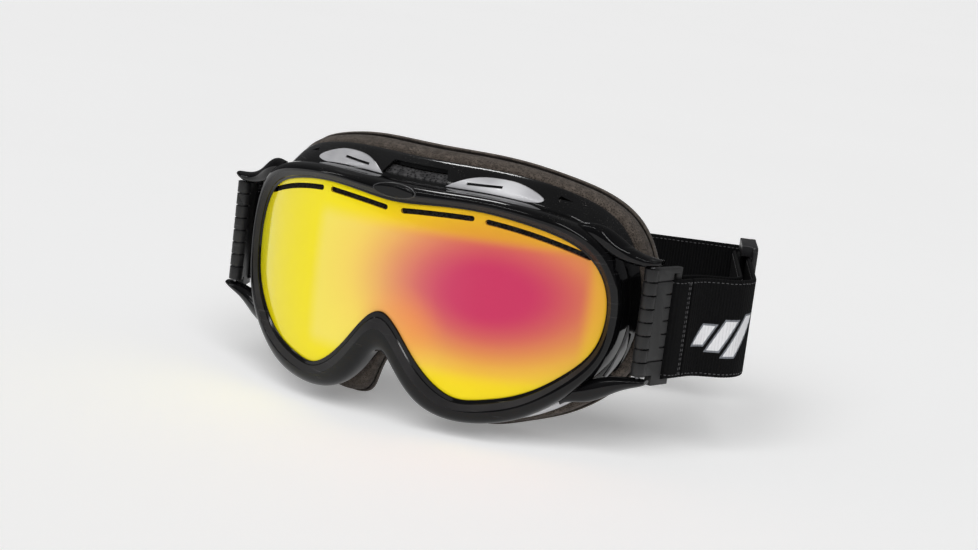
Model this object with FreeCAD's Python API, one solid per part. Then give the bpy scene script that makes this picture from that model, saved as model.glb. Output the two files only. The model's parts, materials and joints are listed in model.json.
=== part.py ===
import FreeCAD, Part
import math
import os

# Goggles, worn on the head.  +X is the viewer's right (the wearer's left), -Y is forward and +Z is up.
# Shapes are drawn with the middle of the lens front at the origin, and moved back to the face seat
# when they are written.  All sizes are in millimetres.

Vector = FreeCAD.Vector

# Lens: a toric sheet, curved round the face about a vertical axis and slightly from brow to cheek.
lens_radius = 117.0
lens_height_radius = 320.0
lens_level = -13.0
outer_lens_thickness = 1.2
inner_lens_thickness = 1.0
lens_spacing = 4.0
lens_hidden_edge = 1.3
groove_gap = 0.12
slot_width = 2.2
gasket_width = 4.0

# The face seat, where the middle of the foam meets the face.
seat_depth = 42.0

# Half outlines seen from the front, as (x, z), from the middle of the brow down to the nose.
lens_outline = [
    (0, 23.4), (18, 24.6), (36, 25), (52, 22.8), (67, 18.2), (77, 10.5), (82.5, -1), (83.6, -14),
    (80.5, -27), (71.5, -38), (58.5, -47), (44, -51.6), (34, -52.3), (24, -47), (14.5, -37), (7, -27.5),
    (0, -23),
]
bezel_outline = [
    (0, 30), (19, 30.2), (38, 30), (55, 28), (71, 23.5), (82, 14.5), (87.5, 0), (88.5, -14),
    (85.6, -29), (76.5, -42.5), (62, -54.6), (46.5, -60.4), (33, -61.6), (19.8, -57.8), (10, -48.4),
    (4.5, -41), (0, -38.6),
]
flange_outline = [
    (0, 38.8), (19, 38.9), (37, 38.2), (54, 35.6), (70, 30), (81, 20), (87, 3), (88.3, -14),
    (86.3, -30), (78.5, -43.5), (64.5, -55), (49, -60.5), (35, -61.5), (23, -57.5), (13.5, -48.5),
    (6, -40.5), (0, -38),
]
foam_outline = [
    (0, 42), (19, 42.1), (37, 41), (55, 37.6), (71, 31.6), (82.4, 21), (89, 4), (90.6, -14),
    (88.4, -31), (80.5, -45.5), (66, -56.8), (50, -63), (36.8, -66.4), (22.6, -64.8),
    (14.8, -55.4), (7.6, -43.6), (0, -39.6),
]
mouth_outline = [
    (0, 26.5), (18, 27.3), (36, 26.8), (53, 24.2), (68, 18.6), (78, 10), (82.6, -2), (83.6, -14),
    (80.8, -27), (71.8, -38.2), (59, -47), (45, -51.6), (35.5, -52), (27.5, -48.3), (19, -40), (9, -31),
    (0, -27.5),
]
inner_lens_outline = [
    (0, 15.6), (18, 16.8), (36, 17.2), (51, 15.2), (63, 11.6), (71.5, 5.5), (77.5, -3), (80.6, -14),
    (77.8, -26), (69.3, -36), (57, -44.6), (43.6, -49), (34.8, -49.6), (26, -45), (17, -35.6), (9, -25.6),
    (0, -20.6),
]

# Rings are smooth tubes through this many stations round the face.
station_count = 72
nose_width = 20.0
nose_relief = 0.35
front_depth = 10.0

# Depths behind the lens edge.
bezel_depth = 9.6
wall_start = 10.6
flange_depth = 22.0
foam_start = 22.3
foam_depth = 36.4
fleece_thickness = 2.0

# Lens vent slots, each an arc through three (x, z) points.
slot_arcs = [
    ((4.2, 19.6), (19, 20.8), (32.6, 21.3)),
    ((39, 20.8), (59, 17.2), (75.2, 11.6)),
]

# Outrigger arms: centre, height and depth of each section, from the frame corner out to the tip.
upper_arm_sections = [
    (Vector(70, 27, 21.5), 7.5, 6), (Vector(79, 32, 20), 9, 8), (Vector(86, 36, 15.8), 8, 8.5),
    (Vector(92, 38.4, 13.4), 5.6, 8), (Vector(98.4, 39.6, 12.9), 3.8, 7.2), (Vector(102, 40, 13.6), 1.8, 4.4),
]
lower_arm_sections = [
    (Vector(71, 29.5, -46), 7.5, 6), (Vector(79, 33.5, -43), 9, 8), (Vector(85.6, 36.4, -40.4), 8.6, 8.5),
    (Vector(92, 38.2, -37.8), 6, 8), (Vector(98.4, 39.4, -36.1), 3.8, 7.2),
    (Vector(102, 39.6, -35.2), 1.8, 4.4),
]

# Strap clip, hinged on a vertical pin between the two arms.
pin_x = 98.0
pin_y = 39.4
pin_radius = 1.1
pin_clearance = 0.05
pin_top = 13.9
pin_bottom = -36.8
clip_angle = 17.3
clip_top = 10.5
clip_bottom = -33.2
clip_foot = -37.6
barrel_radius = 3.0
plate_length = 12.0
plate_thickness = 3.4
bar_place = 16.3
bar_radius = 1.7
notch_count = 7
notch_height = 0.7
notch_depth = 0.7

# Webbing strap.
strap_top = 6.0
strap_bottom = -35.0
strap_thickness = 1.6
layer_half_gap = 2.8
loop_end = 22.0
strap_start = 22.8

# Strap route seen from above, as (x, y, corner radius), from the right clip round to the left one.
strap_route = [
    (109.6, 67.2, 12), (126.6, 81, 15), (91, 161.5, 4), (-5, 116.8, 80), (-78, 119, 40), (-106, 94, 25),
    (-109.8, 68, 12),
]

# Slider (strap adjuster) on the straight run behind the right-hand bend.
slider_length = 28.0
slider_back_from_corner = 21.0
slider_top = 11.0
slider_bottom = -40.0
slider_wall = 2.2
slider_bar_width = 6.0
centre_bar_width = 3.4
centre_bar_thickness = 1.6
slider_rail_gap = 0.35
slip = 0.3
sewn_thickness = 0.9


def brow_sag(z):
    return lens_height_radius - math.sqrt(lens_height_radius ** 2 - (z - lens_level) ** 2)


def lens_y(x, z):
    radius = lens_radius - brow_sag(z)
    return lens_radius - math.sqrt(radius * radius - x * x)


def mirrored(half):
    left = [(-x, z) for x, z in reversed(half[1:-1])]
    return list(half) + left


def station_parameters():
    points = mirrored(lens_outline)
    steps = []
    for i in range(len(points)):
        x0, z0 = points[i]
        x1, z1 = points[(i + 1) % len(points)]
        steps.append(math.sqrt(math.hypot(x1 - x0, z1 - z0)))
    total = sum(steps)
    parameters = [0.0]
    for step in steps:
        parameters.append(parameters[-1] + step / total)
    return parameters


def outline_curve(half):
    points = [Vector(x, 0, z) for x, z in mirrored(half)]
    curve = Part.BSplineCurve()
    curve.interpolate(Points=points, PeriodicFlag=True, Parameters=station_parameters())
    return curve


def stations(curve):
    return [curve.value(i / station_count) for i in range(station_count)]


def outline_offset(curve, distance):
    # Positive distances grow the outline.
    points = []
    for i in range(station_count):
        place = curve.value(i / station_count)
        tangent = curve.tangent(i / station_count)[0]
        points.append(place + Vector(-tangent.z, 0, tangent.x) * distance)
    return points


def prism(points, front=-20.0, back=90.0):
    # A closed smooth outline in the front view, extruded from front to back.
    curve = Part.BSplineCurve()
    curve.interpolate(Points=points, PeriodicFlag=True)
    wire = Part.Wire([curve.toShape()])
    face = Part.Face(wire)
    face.translate(Vector(0, front, 0))
    return face.extrude(Vector(0, back - front, 0))


def polygon_prism(points, direction):
    wire = Part.makePolygon(points + [points[0]])
    return Part.Face(wire).extrude(direction)


def toric_shell(front, back):
    # The space between two sheets parallel to the lens, at these depths behind its front.
    reach = 80.0
    swing = 78.0
    edges = []
    ends = []
    for depth in (front, back):
        radius = lens_height_radius - depth
        rise = math.sqrt(radius * radius - reach * reach)
        low = Vector(0, lens_height_radius - rise, lens_level - reach)
        high = Vector(0, lens_height_radius - rise, lens_level + reach)
        middle = Vector(0, depth, lens_level)
        edges.append(Part.Arc(low, middle, high).toShape())
        ends.append((low, high))
    edges.append(Part.makeLine(ends[0][0], ends[1][0]))
    edges.append(Part.makeLine(ends[0][1], ends[1][1]))
    face = Part.Face(Part.Wire(Part.__sortEdges__(edges)))
    axis_point = Vector(0, lens_radius, 0)
    face.rotate(axis_point, Vector(0, 0, 1), -swing)
    return face.revolve(axis_point, Vector(0, 0, 1), 2 * swing)


def largest(shape):
    return max(shape.Solids, key=lambda solid: solid.Volume)


def mirror(shape):
    return shape.mirror(Vector(0, 0, 0), Vector(1, 0, 0))


class Face:
    # The outlines sampled at matching stations, from which every ring is blended.
    def __init__(self):
        lens_curve = outline_curve(lens_outline)
        self.places = {
            "lip": outline_offset(lens_curve, -0.7),
            "lens": stations(lens_curve),
            "bezel": stations(outline_curve(bezel_outline)),
            "flange": stations(outline_curve(flange_outline)),
            "foam": stations(outline_curve(foam_outline)),
            "mouth": stations(outline_curve(mouth_outline)),
        }
        self.base = [lens_y(p.x, p.z) for p in self.places["lens"]]

    def depth(self, i, depth):
        # Everything behind the bezel is shallower over the nose.
        place = self.places["lens"][i]
        if place.z > 0 or depth < front_depth:
            return self.base[i] + depth
        nose = math.exp(-((place.x / nose_width) ** 2))
        return self.base[i] + front_depth + (depth - front_depth) * (1 - nose_relief * nose)

    def ring(self, rails):
        # Each rail is (depth, {outline: share}); the rails follow each other round the section.
        poles = []
        for i in range(station_count):
            row = []
            for depth, shares in rails:
                place = Vector(0, 0, 0)
                for name, share in shares.items():
                    place += self.places[name][i] * share
                place.y = self.depth(i, depth)
                row.append(place)
            poles.append(row)
        surface = Part.BSplineSurface()
        count = len(rails)
        surface.buildFromPolesMultsKnots(
            poles, [1] * (station_count + 1), [1] * (count + 1),
            [float(i) for i in range(station_count + 1)], [float(i) for i in range(count + 1)],
            True, True, 3, 3)
        shell = Part.Shell([surface.toShape()])
        solid = Part.Solid(shell)
        if solid.Volume < 0:
            solid.reverse()
        return solid


def frame_front(face):
    bezel = face.ring([
        (-0.9, {"lip": 1.0}),
        (-2.6, {"lens": 0.72, "bezel": 0.28}),
        (-2.4, {"lens": 0.28, "bezel": 0.72}),
        (0.6, {"lens": -0.02, "bezel": 1.02}),
        (5.0, {"lens": -0.04, "bezel": 1.04}),
        (bezel_depth, {"lens": -0.02, "bezel": 1.02}),
        (bezel_depth + 0.4, {"lens": 0.25, "bezel": 0.75}),
        (5.6, {"lens": 0.45, "bezel": 0.55}),
        (4.0, {"lens": 0.75, "bezel": 0.25}),
        (3.2, {"lip": 1.0}),
    ])
    groove = toric_shell(-groove_gap, outer_lens_thickness + groove_gap)
    pocket = groove.common(prism(outline_offset(outline_curve(lens_outline), lens_hidden_edge + groove_gap)))
    return largest(bezel.cut(pocket))


def frame_rear(face):
    wall = face.ring([
        (wall_start, {"bezel": 0.94, "lens": 0.06}),
        (14.5, {"bezel": 0.5, "flange": 0.5}),
        (18.0, {"bezel": 0.12, "flange": 0.88}),
        (20.0, {"flange": 1.03, "mouth": -0.03}),
        (flange_depth, {"flange": 1.04, "mouth": -0.04}),
        (flange_depth, {"flange": 0.62, "mouth": 0.38}),
        (20.2, {"flange": 0.6, "mouth": 0.4}),
        (18.0, {"bezel": 0.1, "flange": 0.68, "mouth": 0.22}),
        (14.5, {"bezel": 0.42, "flange": 0.3, "lens": 0.28}),
        (wall_start, {"bezel": 0.55, "lens": 0.45}),
    ])
    for cutter in vent_windows():
        wall = wall.cut(cutter)
    return largest(wall)


def front_window(points):
    # A window seen from the front, cut only through the sloping wall.
    outline = polygon_prism([Vector(x, -20, z) for x, z in points], Vector(0, 120, 0))
    return outline.common(toric_shell(10.6, 16.4))


def vent_windows():
    brow = front_window([(-15.5, 31.0), (15.5, 31.0), (12.5, 36.4), (-12.5, 36.4)])
    temple = front_window([(56, 29.2), (57.5, 32.8), (67, 29.4), (76, 22.8), (74, 20.8), (66, 25.6)])
    side = polygon_prism(
        [Vector(80, 46.6, -18), Vector(80, 51.4, -20), Vector(80, 51.0, -38), Vector(80, 44.6, -40)],
        Vector(20, 0, 0))
    cheek_window = polygon_prism(
        [Vector(24, 22, -70), Vector(40, 24, -70), Vector(40, 27.5, -70), Vector(24, 24.6, -70)],
        Vector(0, 0, 18))
    right = [temple, side, cheek_window]
    return [brow] + right + [mirror(cutter) for cutter in right]


def trim_band(face):
    # The space just outside the sloping wall that the snap-in trims fill.
    return face.ring([
        (11.0, {"bezel": 0.97, "flange": -0.12, "foam": 0.15}),
        (14.3, {"bezel": 0.5, "flange": 0.22, "foam": 0.28}),
        (17.6, {"bezel": 0.15, "flange": 0.6, "foam": 0.25}),
        (18.4, {"bezel": 0.2, "flange": 0.7, "lens": 0.1}),
        (15.0, {"bezel": 0.5, "flange": 0.4, "lens": 0.1}),
        (11.6, {"bezel": 0.88, "lens": 0.12}),
    ])


def vent_trims(band, wall):
    leaf = [(15, 30.6), (19, 33.0), (26, 35.6), (36, 36.2), (46, 34.4), (53, 30.4), (47, 29.4), (30, 29.8)]
    top_space = prism([Vector(x, 0, z) for x, z in leaf])
    slot_corners = [(23, 33.3), (37, 33.9), (37, 32.9), (23, 32.3)]
    slot = polygon_prism([Vector(x, 5, z) for x, z in slot_corners], Vector(0, 40, 0))
    top = band.common(top_space).cut(wall).cut(slot)
    sickle = [(42, -66), (58, -62.5), (73, -50.5), (72, -47), (58, -54), (42, -58.5)]
    bottom_space = prism([Vector(x, 0, z) for x, z in sickle])
    bottom = band.common(bottom_space).cut(wall)
    fin_space = polygon_prism(
        [Vector(82, 46.2, -15), Vector(82, 49.6, -26), Vector(82, 47.6, -42), Vector(82, 43.4, -42)],
        Vector(20, 0, 0))
    side = band.common(fin_space).cut(wall)
    return {"top_vent_trim": largest(top), "bottom_vent_trim": largest(bottom),
            "side_vent_fin": largest(side)}


def vent_foams(face, wall, front):
    ring = face.ring([
        (11.8, {"bezel": 0.5, "lens": 0.5}),
        (14.6, {"bezel": 0.4, "flange": 0.35, "lens": 0.25}),
        (19.6, {"flange": 0.7, "mouth": 0.3}),
        (20.0, {"flange": 0.35, "mouth": 0.65}),
        (14.6, {"bezel": 0.2, "flange": 0.15, "lens": 0.65}),
        (11.4, {"bezel": 0.15, "lens": 0.85}),
    ])
    ring = ring.cut(wall).cut(front)
    gap = 0.3
    spans = {
        "brow_vent_foam": Part.makeBox(300, 200, 100, Vector(-150, -50, 6 + gap)),
        "side_vent_foam_right": Part.makeBox(150, 200, 46 - 2 * gap, Vector(0, -50, -40 + gap)),
        "cheek_vent_foam_right": Part.makeBox(150, 200, 80, Vector(12, -50, -120)),
    }
    foams = {}
    for name, box in spans.items():
        if name == "cheek_vent_foam_right":
            box = box.common(Part.makeBox(400, 400, 80, Vector(-200, -100, -120 - gap)))
        foams[name] = largest(ring.common(box))
    for side in ("side", "cheek"):
        foams[side + "_vent_foam_left"] = mirror(foams[side + "_vent_foam_right"])
    return foams


def face_foam(face):
    return face.ring([
        (foam_start, {"flange": 0.95, "mouth": 0.05}),
        (23.4, {"flange": 0.3, "foam": 0.7}),
        (28.0, {"foam": 1.06, "mouth": -0.06}),
        (foam_depth - 3.0, {"foam": 1.0}),
        (foam_depth - 0.2, {"foam": 0.66, "mouth": 0.34}),
        (foam_depth - 1.4, {"foam": 0.2, "mouth": 0.8}),
        (28.5, {"foam": -0.04, "mouth": 1.04}),
        (23.6, {"flange": 0.08, "mouth": 0.92}),
        (foam_start, {"flange": 0.4, "mouth": 0.6}),
    ])


def face_fleece(face):
    # A thin layer bonded to the foam's face side: its inner rails follow the foam, its outer ones stand off.
    gap = 0.25
    rear = foam_depth + gap
    return face.ring([
        (foam_depth - 5.0, {"foam": 1.05, "mouth": -0.05}),
        (rear - 3.0, {"foam": 1.02, "mouth": -0.02}),
        (rear - 0.2, {"foam": 0.66, "mouth": 0.34}),
        (rear - 1.4, {"foam": 0.18, "mouth": 0.82}),
        (foam_depth - 6.0, {"foam": -0.04, "mouth": 1.04}),
        (foam_depth - 5.2, {"foam": -0.1, "mouth": 1.1}),
        (rear - 1.4 + fleece_thickness, {"foam": 0.1, "mouth": 0.9}),
        (rear - 0.2 + fleece_thickness, {"foam": 0.7, "mouth": 0.3}),
        (rear - 3.0 + fleece_thickness, {"foam": 1.1, "mouth": -0.1}),
        (foam_depth - 4.4, {"foam": 1.12, "mouth": -0.12}),
    ])


def capsule_prism(arc_points, width):
    # A round-ended slot that follows an arc in the front view.
    start, middle, end = [Vector(x, 0, z) for x, z in arc_points]
    wire = Part.Wire([Part.Arc(start, middle, end).toShape()])
    band = wire.makeOffset2D(width / 2, join=0, fill=False, openResult=False)
    face = Part.Face(band)
    face.translate(Vector(0, -20, 0))
    return face.extrude(Vector(0, 120, 0))


def lenses():
    lens_curve = outline_curve(lens_outline)
    inner_curve = outline_curve(inner_lens_outline)
    outer = toric_shell(0, outer_lens_thickness).common(prism(outline_offset(lens_curve, lens_hidden_edge)))
    for arc in slot_arcs:
        slot = capsule_prism(arc, slot_width)
        outer = outer.cut(slot).cut(mirror(slot))
    inner_front = outer_lens_thickness + lens_spacing
    gap = 0.05
    inner_space = prism(outline_offset(inner_curve, 0))
    inner = toric_shell(inner_front, inner_front + inner_lens_thickness).common(inner_space)
    gasket_hole = prism(outline_offset(inner_curve, -gasket_width))
    spacer_shell = toric_shell(outer_lens_thickness + gap, inner_front - gap)
    gasket = spacer_shell.common(inner_space).cut(gasket_hole)
    upper = Part.makeBox(400, 200, 60, Vector(-200, -50, 4))
    strip_space = prism(outline_offset(lens_curve, -1.1)).cut(prism(outline_offset(inner_curve, 0.3)))
    strip_shell = toric_shell(outer_lens_thickness + gap, outer_lens_thickness + 2.6)
    strip = strip_shell.common(strip_space).common(upper)
    return {"outer_lens": largest(outer), "inner_lens": largest(inner), "lens_gasket": largest(gasket),
            "lens_slot_foam": largest(strip)}


def brow_badge(front):
    plate = Part.Face(Part.Wire([Part.Ellipse(Vector(0, 0, 0), 9.0, 2.1).toShape()]))
    plate.rotate(Vector(0, 0, 0), Vector(1, 0, 0), 90)
    plate.translate(Vector(0, -1.1, 27.1))
    return largest(plate.extrude(Vector(0, 3, 0)).cut(front))


def arm(sections, front, wall, others):
    wires = []
    for centre, height, depth in sections:
        ellipse = Part.Ellipse(Vector(0, 0, 0), max(height, depth) / 2, min(height, depth) / 2)
        wire = Part.Wire([ellipse.toShape()])
        if height > depth:
            wire.rotate(Vector(0, 0, 0), Vector(0, 0, 1), 90)
        wire.rotate(Vector(0, 0, 0), Vector(1, 0, 0), 90)
        wire.rotate(Vector(0, 0, 0), Vector(0, 0, 1), 90)
        wire.translate(centre)
        wires.append(wire)
    body = Part.makeLoft(wires, True, False)
    for other in [front, wall] + others:
        body = body.cut(other)
    bore = Part.makeCylinder(pin_radius, pin_top - pin_bottom, Vector(pin_x, pin_y, pin_bottom))
    return largest(body.cut(bore))


def place_on_clip(shape):
    # Clip parts are drawn with the pin at the origin and the plate along +X, outward being -Y.
    placed = shape.copy()
    placed.rotate(Vector(0, 0, 0), Vector(0, 0, 1), 90 - clip_angle)
    placed.translate(Vector(pin_x, pin_y, 0))
    return placed


def box_between(low, high):
    return Part.makeBox(high[0] - low[0], high[1] - low[1], high[2] - low[2], Vector(*low))


def strap_clip():
    half = plate_thickness / 2
    height = clip_top - clip_bottom
    body = Part.makeCylinder(barrel_radius, height, Vector(0, 0, clip_bottom))
    pieces = [
        box_between((0, -half, clip_bottom), (plate_length, half, clip_top)),
        box_between((6.5, -half, clip_foot), (plate_length, half, clip_bottom)),
        box_between((plate_length, -bar_radius, clip_foot), (bar_place, bar_radius, strap_bottom - slip)),
        box_between((plate_length, -bar_radius, strap_top + 2.4), (bar_place, bar_radius, clip_top)),
        Part.makeCylinder(bar_radius, clip_top - clip_foot, Vector(bar_place, 0, clip_foot)),
    ]
    for piece in pieces:
        body = body.fuse(piece)
    body = body.removeSplitter()
    pitch = (clip_top - clip_bottom) / (notch_count + 1)
    for i in range(notch_count):
        level = clip_bottom + (i + 1) * pitch
        ends = [(-barrel_radius, 2.0), (plate_length - 3.2, plate_length)]
        if i in (0, notch_count - 1):
            ends = [(-barrel_radius, plate_length)]
        for start, end in ends:
            near_corner = (start, -barrel_radius, level)
            far_corner = (end, -half + notch_depth, level + notch_height)
            body = body.cut(box_between(near_corner, far_corner))
        collar = Part.makeCylinder(barrel_radius + 1, notch_height, Vector(0, 0, level))
        collar = collar.cut(Part.makeCylinder(barrel_radius - notch_depth, notch_height, Vector(0, 0, level)))
        body = body.cut(collar.common(box_between((-9, -9, clip_bottom), (0, 9, clip_top))))
    bore = Part.makeCylinder(pin_radius + pin_clearance, height + 2, Vector(0, 0, clip_bottom - 1))
    return place_on_clip(largest(body.cut(bore)))


def strap_loop():
    inner = layer_half_gap - strap_thickness / 2
    outer = layer_half_gap + strap_thickness / 2
    height = strap_top - strap_bottom
    loop = Part.makeCylinder(outer, height, Vector(bar_place, 0, strap_bottom))
    loop = loop.cut(box_between((bar_place, -outer, strap_bottom), (bar_place + outer, outer, strap_top)))
    loop = loop.fuse(box_between((bar_place, -outer, strap_bottom), (loop_end, outer, strap_top)))
    loop = loop.cut(Part.makeCylinder(inner, height, Vector(bar_place, 0, strap_bottom)))
    loop = loop.cut(box_between((bar_place, -inner, strap_bottom), (loop_end, inner, strap_top)))
    return place_on_clip(largest(loop.removeSplitter()))


def clip_point(along, outward):
    angle = math.radians(90 - clip_angle)
    x = pin_x + along * math.cos(angle) + outward * math.sin(angle)
    y = pin_y + along * math.sin(angle) - outward * math.cos(angle)
    return (x, y)


def route_points():
    # The middle of the webbing's thickness, as (x, y, corner radius).
    start = clip_point(strap_start, layer_half_gap) + (0,)
    left = clip_point(strap_start, layer_half_gap)
    return [start] + list(strap_route) + [(-left[0], left[1], 0)]


def unit(a, b):
    length = math.hypot(b[0] - a[0], b[1] - a[1])
    return ((b[0] - a[0]) / length, (b[1] - a[1]) / length)


def shifted_route(points, distance):
    # The same route a distance to the right of the way it runs, with concentric corners.
    shifted = []
    for i, (x, y, radius) in enumerate(points):
        before = unit(points[max(i - 1, 0)], points[max(i, 1)])
        last = len(points) - 1
        after = unit(points[min(i, last - 1)], points[min(i + 1, last)])
        normal = (before[1] + after[1], -before[0] - after[0])
        scale = distance * 2 / (normal[0] ** 2 + normal[1] ** 2)
        turn = before[0] * after[1] - before[1] * after[0]
        new_radius = 0
        if radius:
            new_radius = radius + distance * math.copysign(1, turn)
        shifted.append((x + normal[0] * scale, y + normal[1] * scale, new_radius))
    return shifted


def route_edges(points):
    # Straight runs joined by tangent arcs.
    edges = []
    at = Vector(points[0][0], points[0][1], 0)
    for i in range(1, len(points) - 1):
        corner = Vector(points[i][0], points[i][1], 0)
        back = unit(points[i], points[i - 1])
        ahead = unit(points[i], points[i + 1])
        cosine = back[0] * ahead[0] + back[1] * ahead[1]
        half_angle = math.acos(max(-1.0, min(1.0, cosine))) / 2
        radius = points[i][2]
        reach = radius / math.tan(half_angle)
        first = corner + Vector(back[0], back[1], 0) * reach
        last = corner + Vector(ahead[0], ahead[1], 0) * reach
        inward = Vector(back[0] + ahead[0], back[1] + ahead[1], 0)
        inward.normalize()
        middle = corner + inward * (radius / math.sin(half_angle) - radius)
        edges.append(Part.makeLine(at, first))
        edges.append(Part.Arc(first, middle, last).toShape())
        at = last
    edges.append(Part.makeLine(at, Vector(points[-1][0], points[-1][1], 0)))
    return edges


def webbing(points, bottom=strap_bottom, top=strap_top):
    half = strap_thickness / 2
    right = route_edges(shifted_route(points, half))
    left = route_edges(shifted_route(points, -half))
    ends = [
        Part.makeLine(right[0].valueAt(right[0].FirstParameter), left[0].valueAt(left[0].FirstParameter)),
        Part.makeLine(right[-1].valueAt(right[-1].LastParameter), left[-1].valueAt(left[-1].LastParameter)),
    ]
    face = Part.Face(Part.Wire(Part.__sortEdges__(right + left + ends)))
    face.translate(Vector(0, 0, bottom))
    return face.extrude(Vector(0, 0, top - bottom))


def slider_frame():
    # Where the slider sits at rest: its middle, the direction away from the clip and the outward side.
    bend = strap_route[1]
    corner = strap_route[2]
    back = unit(bend, corner)
    middle = (corner[0] - back[0] * slider_back_from_corner, corner[1] - back[1] * slider_back_from_corner)
    return middle, back


def place_on_run(shape):
    # Slider parts are drawn with +X away from the clip, +Y outward and the outer webbing in the middle.
    middle, back = slider_frame()
    placed = shape.copy()
    placed = placed.mirror(Vector(0, 0, 0), Vector(0, 1, 0))
    placed.rotate(Vector(0, 0, 0), Vector(0, 0, 1), math.degrees(math.atan2(back[1], back[0])))
    placed.translate(Vector(middle[0], middle[1], 0))
    return placed


def slider():
    half = slider_length / 2
    face_side = strap_thickness / 2 + slip
    bar_outer = -(layer_half_gap - centre_bar_thickness / 2)
    bar_inner = bar_outer - centre_bar_thickness
    top = strap_top + slider_rail_gap
    bottom = strap_bottom - slider_rail_gap
    body = box_between((-half, face_side, slider_bottom), (half, face_side + slider_wall, slider_top))
    upright = [edge for edge in body.Edges if abs(edge.tangentAt(edge.FirstParameter).y) > 0.9]
    body = body.makeFillet(3.2, upright)
    window = box_between(
        (-half + slider_bar_width, 0, bottom), (half - slider_bar_width, face_side + slider_wall + 1, top))
    body = body.cut(window)
    for low, high in ((top, slider_top), (slider_bottom, bottom)):
        body = body.fuse(box_between((-half + 3.2, bar_inner, low), (half - 3.2, face_side, high)))
    bar = box_between(
        (-centre_bar_width / 2, bar_inner, slider_bottom), (centre_bar_width / 2, bar_outer, slider_top))
    return place_on_run(largest(body.fuse(bar).removeSplitter()))


def sewn_end():
    # The webbing's end, sewn round the slider's middle bar.
    middle = -layer_half_gap
    thickness = centre_bar_thickness / 2 + 0.02
    outer = thickness + sewn_thickness
    width = centre_bar_width / 2 + 0.02
    height = strap_top - strap_bottom
    loop = box_between((-width, middle - outer, strap_bottom), (width, middle + outer, strap_top))
    for end in (-width, width):
        loop = loop.fuse(Part.makeCylinder(outer, height, Vector(end, middle, strap_bottom)))
    tail_start = (-width - outer - 6, middle - outer, strap_bottom)
    tail_end = (-width, middle - outer + sewn_thickness, strap_top)
    loop = loop.fuse(box_between(tail_start, tail_end))
    hole = box_between((-width, middle - thickness, strap_bottom), (width, middle + thickness, strap_top))
    return place_on_run(largest(loop.cut(hole).removeSplitter()))


def straps():
    main = webbing(route_points())
    inner_points = shifted_route(route_points()[:4], -2 * layer_half_gap)
    middle, back = slider_frame()
    bend = inner_points[2]
    reach = math.hypot(middle[0] - strap_route[1][0], middle[1] - strap_route[1][1])
    end = (bend[0] + back[0] * reach, bend[1] + back[1] * reach, 0)
    return main, webbing(inner_points[:3] + [end])


def export(name, shape):
    moved = shape.copy()
    moved.translate(Vector(0, -seat_depth, 0))
    moved.exportStep(os.path.join("parts", name + ".step"))
    solids = len(shape.Solids)
    print(name, "volume", round(shape.Volume, 1), "solids", solids, "valid", shape.isValid())


def main():
    os.makedirs("parts", exist_ok=True)
    face = Face()
    front = frame_front(face)
    wall = frame_rear(face)
    pieces = {"frame_front": front, "frame_rear": wall}
    pieces["face_foam"] = face_foam(face)
    pieces["face_fleece"] = face_fleece(face)
    pieces.update(lenses())
    pieces.update(vent_foams(face, wall, front))
    pieces["brow_badge"] = brow_badge(front)
    for name, trim in vent_trims(trim_band(face), wall).items():
        pieces[name + "_right"] = trim
        pieces[name + "_left"] = mirror(trim)
    trims = [pieces["side_vent_fin_right"], pieces["bottom_vent_trim_right"]]
    upper = arm(upper_arm_sections, front, wall, [])
    lower = arm(lower_arm_sections, front, wall, trims)
    pin = Part.makeCylinder(pin_radius, pin_top - pin_bottom, Vector(pin_x, pin_y, pin_bottom))
    paired = {"upper_arm": upper, "lower_arm": lower, "clip_pin": pin, "strap_clip": strap_clip(),
              "strap_loop": strap_loop()}
    for name, shape in paired.items():
        pieces[name + "_right"] = shape
        pieces[name + "_left"] = mirror(shape)
    pieces["strap_main"], pieces["strap_return"] = straps()
    pieces["slider"] = slider()
    pieces["strap_sewn_end"] = sewn_end()
    for name, shape in pieces.items():
        export(name, shape)


main()
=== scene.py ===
import json
import math

import bmesh
import bpy
import numpy as np
from mathutils import Matrix, Vector
from mathutils.bvhtree import BVHTree

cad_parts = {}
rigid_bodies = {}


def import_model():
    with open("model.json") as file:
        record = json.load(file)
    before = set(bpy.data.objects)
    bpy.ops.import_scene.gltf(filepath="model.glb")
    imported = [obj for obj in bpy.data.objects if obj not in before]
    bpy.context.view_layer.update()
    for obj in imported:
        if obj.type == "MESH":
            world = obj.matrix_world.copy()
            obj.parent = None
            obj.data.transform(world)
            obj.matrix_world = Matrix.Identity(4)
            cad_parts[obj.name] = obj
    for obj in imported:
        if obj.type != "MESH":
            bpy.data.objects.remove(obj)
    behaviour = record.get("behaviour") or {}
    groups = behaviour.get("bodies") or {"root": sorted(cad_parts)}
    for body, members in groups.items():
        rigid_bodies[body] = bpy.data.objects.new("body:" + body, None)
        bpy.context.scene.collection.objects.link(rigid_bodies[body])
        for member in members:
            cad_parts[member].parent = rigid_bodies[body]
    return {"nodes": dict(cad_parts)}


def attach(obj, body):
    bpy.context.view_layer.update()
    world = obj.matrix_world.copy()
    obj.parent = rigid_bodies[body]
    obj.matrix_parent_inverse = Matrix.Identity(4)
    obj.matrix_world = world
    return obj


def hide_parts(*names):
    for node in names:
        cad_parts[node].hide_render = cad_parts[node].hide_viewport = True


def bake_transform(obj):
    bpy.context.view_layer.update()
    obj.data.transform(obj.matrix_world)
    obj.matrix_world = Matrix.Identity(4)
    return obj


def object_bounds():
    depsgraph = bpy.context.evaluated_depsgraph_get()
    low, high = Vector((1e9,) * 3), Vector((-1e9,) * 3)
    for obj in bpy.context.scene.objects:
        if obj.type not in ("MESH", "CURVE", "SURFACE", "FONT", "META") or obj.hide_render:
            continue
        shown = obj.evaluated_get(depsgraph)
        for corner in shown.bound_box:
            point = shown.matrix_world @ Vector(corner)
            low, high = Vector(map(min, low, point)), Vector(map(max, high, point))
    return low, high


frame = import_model()
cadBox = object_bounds()
nodes = frame["nodes"]
mm = 0.001
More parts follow.
